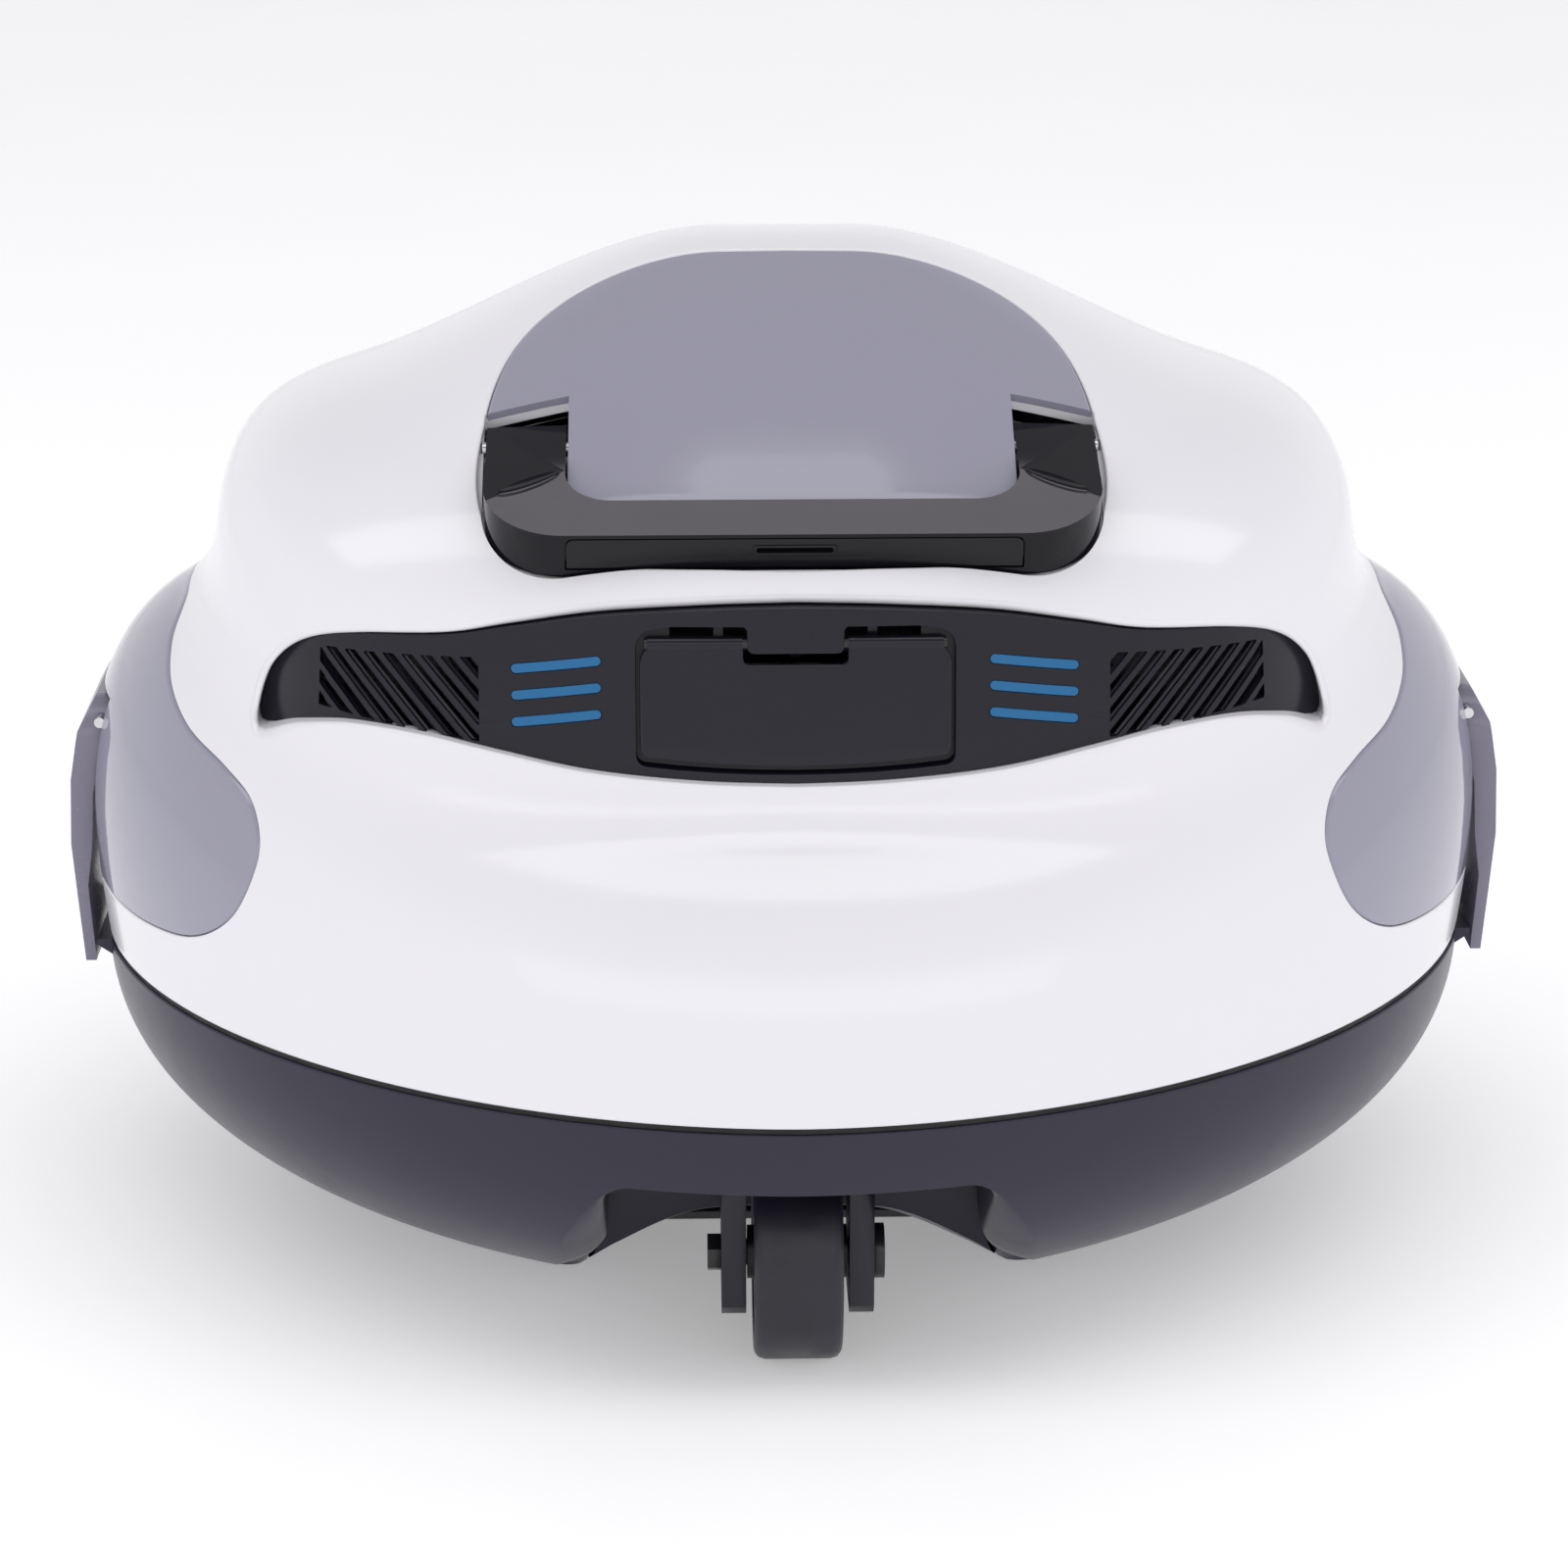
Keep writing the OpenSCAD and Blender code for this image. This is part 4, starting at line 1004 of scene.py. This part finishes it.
def light_bars():
    wall = wall_field(FASCIA_INSET - 0.25)
    front = join([panel("bar", FRONT, line, 3.0, 0.35, wall) for line in bar_lines(0.0, 0.4)])
    rear = turned(front, REAR)
    for obj, end in ((front, "front"), (rear, "rear")):
        fix_normals(obj)
        piece(obj, end + "_bars", "cover", "light_bar", end + "_light_bars")


def join(parts):
    """One mesh out of several."""
    bm = bmesh.new()
    for p in parts:
        bm.from_mesh(p.data)
    for p in parts[1:]:
        drop(p)
    bm.to_mesh(parts[0].data)
    bm.free()
    return parts[0]


def door():
    """Jet door in its own plane: s runs up from the pin line, the lower edge turns inward."""
    low = bowed(DOOR_HALF, 158 - PIN_Z, 160.8 - PIN_Z)
    top = [(DOOR_HALF, 1.0), (13.3, 1.6), (13.3, -5.2), (-13.3, -5.2), (-13.3, 1.6), (-DOOR_HALF, 1.0)]
    line = resample(rounded(low + top, [2.2] + [0] * 7 + [2.2] + [6.4, 0.8, 1.4, 1.4, 0.8, 6.4]), 1.0)
    n = side_normals(line)
    down = clamp01(-n[:, 1]) * (line[:, 1] < -20)
    rings = []
    section = ((0.3, 1.5), (0.0, 1.3), (0.0, -0.9), (0.12, -1.25 + 0.35 * down), (0.45 + 3.2 * down, -1.5))
    for offset, y in section:
        p = line - n * np.broadcast_to(offset, (len(line),))[:, None]
        rings.append(np.column_stack([p[:, 0], np.broadcast_to(y, (len(line),)), p[:, 1]]))
    obj = loft("door", rings, "flat", "flat")
    for x in (-DOOR_HALF + 2, 13.4):
        barrel = cylinder(1.9, DOOR_HALF - 15.5, 40, (x, 0, 0), "X")
        boolean(obj, [barrel], "UNION")
    boolean(obj, [cylinder(1.56, 90, 32, (-45, 0, 0), "X")])
    simplify(obj)
    obj.data.transform(moved_by(0, PIN_Y, PIN_Z) @ Matrix.Rotation(-DOOR_TILT, 4, "X"))
    return obj


def door_pins():
    front = cylinder(1.5, 77, 40, (-38.5, PIN_Y, PIN_Z), "X", None)
    soften(front, 0.3, 2)
    bake(front)
    rear = turned(front, REAR)
    for obj, end in ((front, "front"), (rear, "rear")):
        fix_normals(obj)
        piece(obj, end + "_door_pin", "cover", "bolt_black", end + "_flap_pin")


def doors():
    front = door()
    rear = turned(front, REAR)
    for obj, end in ((front, "front"), (rear, "rear")):
        fix_normals(obj, angle=26)
        piece(obj, end + "_jet_door", end + "_flap", "black_satin", end + "_flap")


# ---------------------------------------------------------------- handle


CREASE_U, CREASE_TURN, CREASE_FALL = 18.4, -32.7, 6.5


def at_crease(side):
    """Place of the slanting crease where an arm falls away from the bar."""
    place = PLANE @ moved_by(ARM_IN, -CREASE_U, HANDLE_HALF) @ turned_by(CREASE_TURN, "Z")
    return place if side > 0 else MIRROR @ place


def arm_wedge(side):
    obj = block((-60, 0, 0), (60, 80, 30))
    obj.data.transform(at_crease(1) @ turned_by(-CREASE_FALL, "X"))
    return obj if side > 0 else swap(obj, MIRROR)


def scoop(side):
    """Lens-shaped hollow along the crease of an arm."""
    rings = []
    for a in np.radians(np.linspace(-84, 84, 25)):
        ring = arc(0, 0, 1, 0, 345, 24)
        k = math.cos(a)
        along = np.full(24, 11 + 10.5 * math.sin(a))
        rings.append(np.column_stack([along, 0.4 + 3.1 * k * ring[:, 0], 0.9 + 2.3 * k * ring[:, 1]]))
    obj = loft("scoop", rings)
    obj.data.transform(at_crease(1))
    return obj if side > 0 else swap(obj, MIRROR)


def handle():
    obj = prism("handle", handle_outline(0, 4), -HANDLE_HALF, HANDLE_HALF)
    for s in (1, -1):
        x = ARM_IN if s > 0 else -ARM_OUT
        boolean(obj, [cylinder(HANDLE_HALF, ARM_OUT - ARM_IN, 96, (x, PIVOT_Y, PIVOT_Z), "X")], "UNION")
    boolean(obj, [arm_wedge(1), arm_wedge(-1)])
    simplify(obj)
    soften(obj, 1.3, 4 if FINE else 2, 28)
    bake(obj)
    cutters = [scoop(1), scoop(-1)]
    frame_line = rounded([(-58.4, -4.4), (58.4, -4.4), (58.4, 5.4), (-58.4, 5.4)], [0.6, 0.6, 2.4, 2.4])
    front = PLANE @ FRONTWARD
    cutters.append(prism("recess", frame_line, BAR_OUT - 2.1, BAR_OUT + 2, front))
    for s in (1, -1):
        cutters.append(cylinder(PIN_R + 0.06, 25, 32, (56.5 if s > 0 else -81.5, PIVOT_Y, PIVOT_Z), "X"))
    boolean(obj, cutters)
    simplify(obj)
    fix_normals(obj, angle=30)
    piece(obj, "carry_handle", "handle", "black_gloss", "handle_bar")


def handle_pins():
    """Two pins through the arms; their outer ends stay inside the cover's wall."""
    obj = join([cylinder(PIN_R, 27, 40, (x, PIVOT_Y, PIVOT_Z), "X") for x in (53.6, -80.6)])
    soften(obj, 0.3, 2)
    bake(obj)
    fix_normals(obj)
    piece(obj, "handle_pivot_pins", "cover", "steel", "handle_pins")


def grip():
    """Front plate of the handle with a raised rim round a shallow slot."""
    front = PLANE @ FRONTWARD
    line = rounded([(-58, -4), (58, -4), (58, 5), (-58, 5)], [0.4, 0.4, 2.1, 2.1])
    plate = prism("grip", line, BAR_OUT - 2, BAR_OUT - 0.05, front)
    soften(plate, 0.35, 2, 50)
    bake(plate)
    line = rounded([(-10.7, 0.2), (10.7, 0.2), (10.7, 3.2), (-10.7, 3.2)], [1.0] * 4)
    rim = prism("rim", line, BAR_OUT - 1, BAR_OUT + 0.25, front)
    soften(rim, 0.25, 2, 50)
    bake(rim)
    boolean(plate, [rim], "UNION")
    line = rounded([(-9.8, 0.9), (9.8, 0.9), (9.8, 2.5), (-9.8, 2.5)], [0.7] * 4)
    boolean(plate, [prism("slot", line, BAR_OUT - 1.5, BAR_OUT + 3, front)])
    simplify(plate)
    fix_normals(plate, angle=30)
    piece(plate, "grip_plate", "handle", "grip_rubber", "handle_grip")


# ---------------------------------------------------------------- lower hull

NOTCH_BACK_Y, LIP_RISE, ROOF_Z, RIM_Z = 96.0, 2.2, 66.0, 76.5
RAMP_SLOPE = 23.8
LEG_X, LEG_Y, LEG_TOP = (46, 84), (97, 168), 58
WHEEL_X, CASTER_Y = 104, 135
RAMP_HALF = [
    (0, 22.4), (10, 22.2), (20.6, 21.7), (28, 20.6), (36.6, 17.7),
    (47, 12.8), (50, 11.3), (57, 7.3), (60, 5.5),
]


def notch_half(z):
    if z < 24:
        foot = math.sqrt(1 - (max(0.0, 12 - z) / 13) ** 2)
        return 50 + 6 * (24 - z) / 25 + 14 * (1 - foot)
    return 50.0 if z < 49 else 42 + math.sqrt(max(0.0, 64 - (z - 49) ** 2))


def hull_y(x, z):
    """Distance of the hull's front face from the middle."""
    hit = first_hit([[x, -200, max(z, 12.0)]], (0, 1, 0), 199, lower)
    return -hit[0][1]


def notch_cut(grow=0.0):
    """Wheel notch; its side walls flare out to the face of the hull, the lip above stays crisp."""
    rings = []
    levels = [-1, 6, 12, 18, 24, 30, 36, 42, 49, 51.5, 53.5, 55, 56.2, 56.8, 57]
    for z in levels:
        half = notch_half(z) + grow
        flare = 0.0 if grow else 20.0 * (1 - 0.95 * float(ease(30, 57, z)))
        face = hull_y(half + 4, z)
        back = NOTCH_BACK_Y - grow
        side = []
        for a in np.radians(np.linspace(8, 90, 12)):
            side.append((half + flare * (1 - math.sin(a)), -face + flare * (1 - math.cos(a))))
        right = [(side[0][0], -200), *side, (half, -back)]
        left = [(-x, y) for x, y in right[::-1]]
        zz = z + (grow + LIP_RISE) * (z - levels[0]) / (57 - levels[0])
        rings.append([(x, y, zz) for x, y in right + left])
    return loft("notch", rings, "flat", "flat")


def ramp_cut(grow=0.0):
    half = curve(RAMP_HALF, 6)
    line = np.concatenate([half, [[60, -40], [-60, -40]], half[:0:-1] * [-1, 1]])
    if grow:
        line = resample(line, 2.0)
        line = line + side_normals(line) * grow
    place = (moved_by(0, -NOTCH_BACK_Y, 0) @ turned_by(-RAMP_SLOPE, "X")
             @ moved_by(0, 60, 0) @ turned_by(90, "X"))
    return prism("ramp", line, 0, 90, place)


def roof_cut(grow=0.0):
    return block((-32 - grow, -156 - grow, 40), (32 + grow, -104 + grow, ROOF_Z + grow))


def well_cut(side, grow=0.0):
    x = side * WHEEL_X
    return block((x - 12.5 - grow, -34 - grow, -1), (x + 12.5 + grow, 34 + grow, 65 + grow))


def hull():
    obj = shell("hull", lower, HULL_WALL, -1, RIM_Z, 0.6)
    for make_one in (notch_cut, ramp_cut, roof_cut):
        for end in (Matrix(), REAR):
            solid = swap(make_one(3.5), end)
            boolean(obj, [inside(solid, lower, 0.4, -1, 70)], "UNION")
    for side in (1, -1):
        boolean(obj, [inside(well_cut(side, 3), lower, 0.4, -1, 70)], "UNION")
    for sx in (1, -1):
        for sy in (1, -1):
            xs, ys = sorted(x * sx for x in LEG_X), sorted(y * sy for y in LEG_Y)
            leg = block((xs[0], ys[0], 0), (xs[1], ys[1], LEG_TOP))
            boolean(obj, [inside(leg, lower, 0.3, -1, 70)], "UNION")
    cutters = []
    for make_one in (notch_cut, ramp_cut, roof_cut):
        solid = make_one()
        cutters += [turned(solid, REAR), solid]
    cutters += [well_cut(1), well_cut(-1)]
    for y in (-30, 30):
        cutters.append(block((-38, y - 9, -1), (38, y + 9, 29)))
    for y in (-CASTER_Y, CASTER_Y):
        cutters.append(cylinder(4.12, 20, 48, (0, y, 60)))
    for s in (1, -1):
        cutters.append(cylinder(4.06, 32, 48, (s * WHEEL_X - 16, 0, 30), "X"))
        cutters.append(block((182 if s > 0 else -196, -24.1, 70.5), (196 if s > 0 else -182, 24.1, 80)))
        for y in (46, -46):
            cutters.append(cylinder(2.1, 9, 32, (64 * s, y, 1.4)))
        cutters.append(block((-57.1, 49.5 if s > 0 else -52.1, 0.9), (57.1, 52.1 if s > 0 else -49.5, 9.9)))
    boolean(obj, cutters)
    fix_normals(obj, [lower])
    piece(obj, "hull_shell", "hull", "hull_charcoal", "lower_hull")


# ---------------------------------------------------------------- CAD pieces kept as they are

EDGE = {
    "front_fork": 0.7, "rear_fork": 0.7, "latch_left": 0.8, "latch_right": 0.8, "power_button": 0.8,
    "button_bezel": 0.4, "charge_cap": 0.7, "charge_socket": 0.4,
    "front_axle_bolt": 0.6, "rear_axle_bolt": 0.6,
    "front_caster_tyre": 0.8, "rear_caster_tyre": 0.8, "wheel_tyre_left": 0.8, "wheel_tyre_right": 0.8,
    "battery_left": 1.5, "battery_right": 1.5, "motor": 0.8, "control_box": 1.0, "jet_duct": 0.5,
    "pump_housing": 0.6, "pump_base": 0.5, "intake_plate": 0.5, "filter_tray": 0.7, "impeller": 0.3,
    "inlet_grille": 0.3, "wiper_strips": 0.3, "motor_flange": 0.5, "filter_screen": 0.4,
}


def dress_cad_nodes():
    replaced = set()
    for obj in bpy.data.objects:
        replaced.update(obj.get("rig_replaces", []))
    for part in frame["record"]["subparts"]:
        name = part["node"]
        if name in replaced:
            continue
        obj = frame["nodes"][name]
        obj.data.materials.clear()
        obj.data.materials.append(MATERIALS[part["material_slot"]])
        obj.data.shade_smooth()
        obj.data.set_sharp_from_angle(angle=math.radians(30))
        if name in EDGE:
            soften(obj, EDGE[name], 3 if FINE else 2)
            obj.modifiers["bevel"].harden_normals = True


# ---------------------------------------------------------------- studio


def studio():
    """Bright all round at eye level, dimmer overhead, where the softboxes are."""
    world = bpy.data.worlds.new("studio")
    bpy.context.scene.world = world
    world.use_nodes = True
    nodes, links = world.node_tree.nodes, world.node_tree.links
    coord = nodes.new("ShaderNodeTexCoord")
    split = nodes.new("ShaderNodeSeparateXYZ")
    ramp = nodes.new("ShaderNodeValToRGB")
    low, high = ramp.color_ramp.elements
    low.position, low.color = 0.30, (1.0, 0.995, 1.015, 1)
    high.position, high.color = 0.72, (0.47, 0.467, 0.48, 1)
    links.new(coord.outputs["Generated"], split.inputs[0])
    links.new(split.outputs["Z"], ramp.inputs["Fac"])
    links.new(ramp.outputs["Color"], nodes["Background"].inputs["Color"])
    nodes["Background"].inputs["Strength"].default_value = 1.15
    view = bpy.context.scene.view_settings
    view.view_transform = "Standard"
    view.exposure = -0.3


def floor():
    half, n = 14.0, 24
    mesh = bpy.data.meshes.new("floor")
    steps = [(i / n - 0.5) * 2 * half for i in range(n + 1)]
    verts = [(x, y, 0.0) for y in steps for x in steps]
    faces = [(j * (n + 1) + i, j * (n + 1) + i + 1, (j + 1) * (n + 1) + i + 1, (j + 1) * (n + 1) + i)
             for j in range(n) for i in range(n)]
    mesh.from_pydata(verts, [], faces)
    obj = bpy.data.objects.new("floor", mesh)
    bpy.context.scene.collection.objects.link(obj)
    s = Shader("floor")
    s.put("Base Color", s.ramp(s.noise(3, 4), [(0.3, (0.91, 0.91, 0.925)), (0.7, (0.93, 0.93, 0.94))]))
    s.put("Roughness", s.spread(s.noise(14, 4), 0.55, 0.7))
    s.put("Normal", s.bump(s.noise(300, 3), 0.05, 0.0001))
    s.set(Emission_Color=(1, 1, 1, 1), Emission_Strength=0.36)
    mesh.materials.append(s.mat)


def lamp(name, place, target, size, radiance, tint=(1, 1, 1), only=()):
    data = bpy.data.lights.new(name, "AREA")
    data.shape = "RECTANGLE"
    data.size, data.size_y = size
    data.energy = radiance * math.pi * size[0] * size[1]
    data.color = tint
    obj = bpy.data.objects.new(name, data)
    bpy.context.scene.collection.objects.link(obj)
    obj.location = place
    obj.rotation_euler = (Vector(target) - Vector(place)).to_track_quat("-Z", "Y").to_euler()
    if only:
        group = bpy.data.collections.new(name + "_only")
        for other in only:
            group.objects.link(bpy.data.objects[other])
        obj.light_linking.receiver_collection = group


def lights():
    lamp("overhead", (0, -0.33, 2.2), (0, -0.1, 0.2), (5.2, 0.75), 2.1)
    lamp("behind", (0, 0.98, 2.2), (0, 0, 0.2), (1.8, 0.5), 4.0, (0.96, 0.9, 1.0), ("carry_handle",))
    lamp("front", (0, -2.6, 1.5), (0, 0, 0.1), (4.6, 0.8), 1.0)


def camera():
    data = bpy.data.cameras.new("view")
    data.lens, data.sensor_width = 98.44, 36
    data.clip_start, data.clip_end = 0.05, 50
    obj = bpy.data.objects.new("view", data)
    bpy.context.scene.collection.objects.link(obj)
    az, el, reach = math.radians(-1.4), math.radians(18), 1.225
    target = Vector((0, 0, 0.1127))
    back = Vector((math.sin(az) * math.cos(el), -math.cos(az) * math.cos(el), math.sin(el)))
    obj.location = target + back * reach
    obj.rotation_euler = (-back).to_track_quat("-Z", "Y").to_euler()
    bpy.context.scene.camera = obj


top_cover()
top_window()
side_panels()
fascias()
light_bars()
doors()
door_pins()
handle()
handle_pins()
grip()
hull()
dress_cad_nodes()
studio()
floor()
lights()
camera()
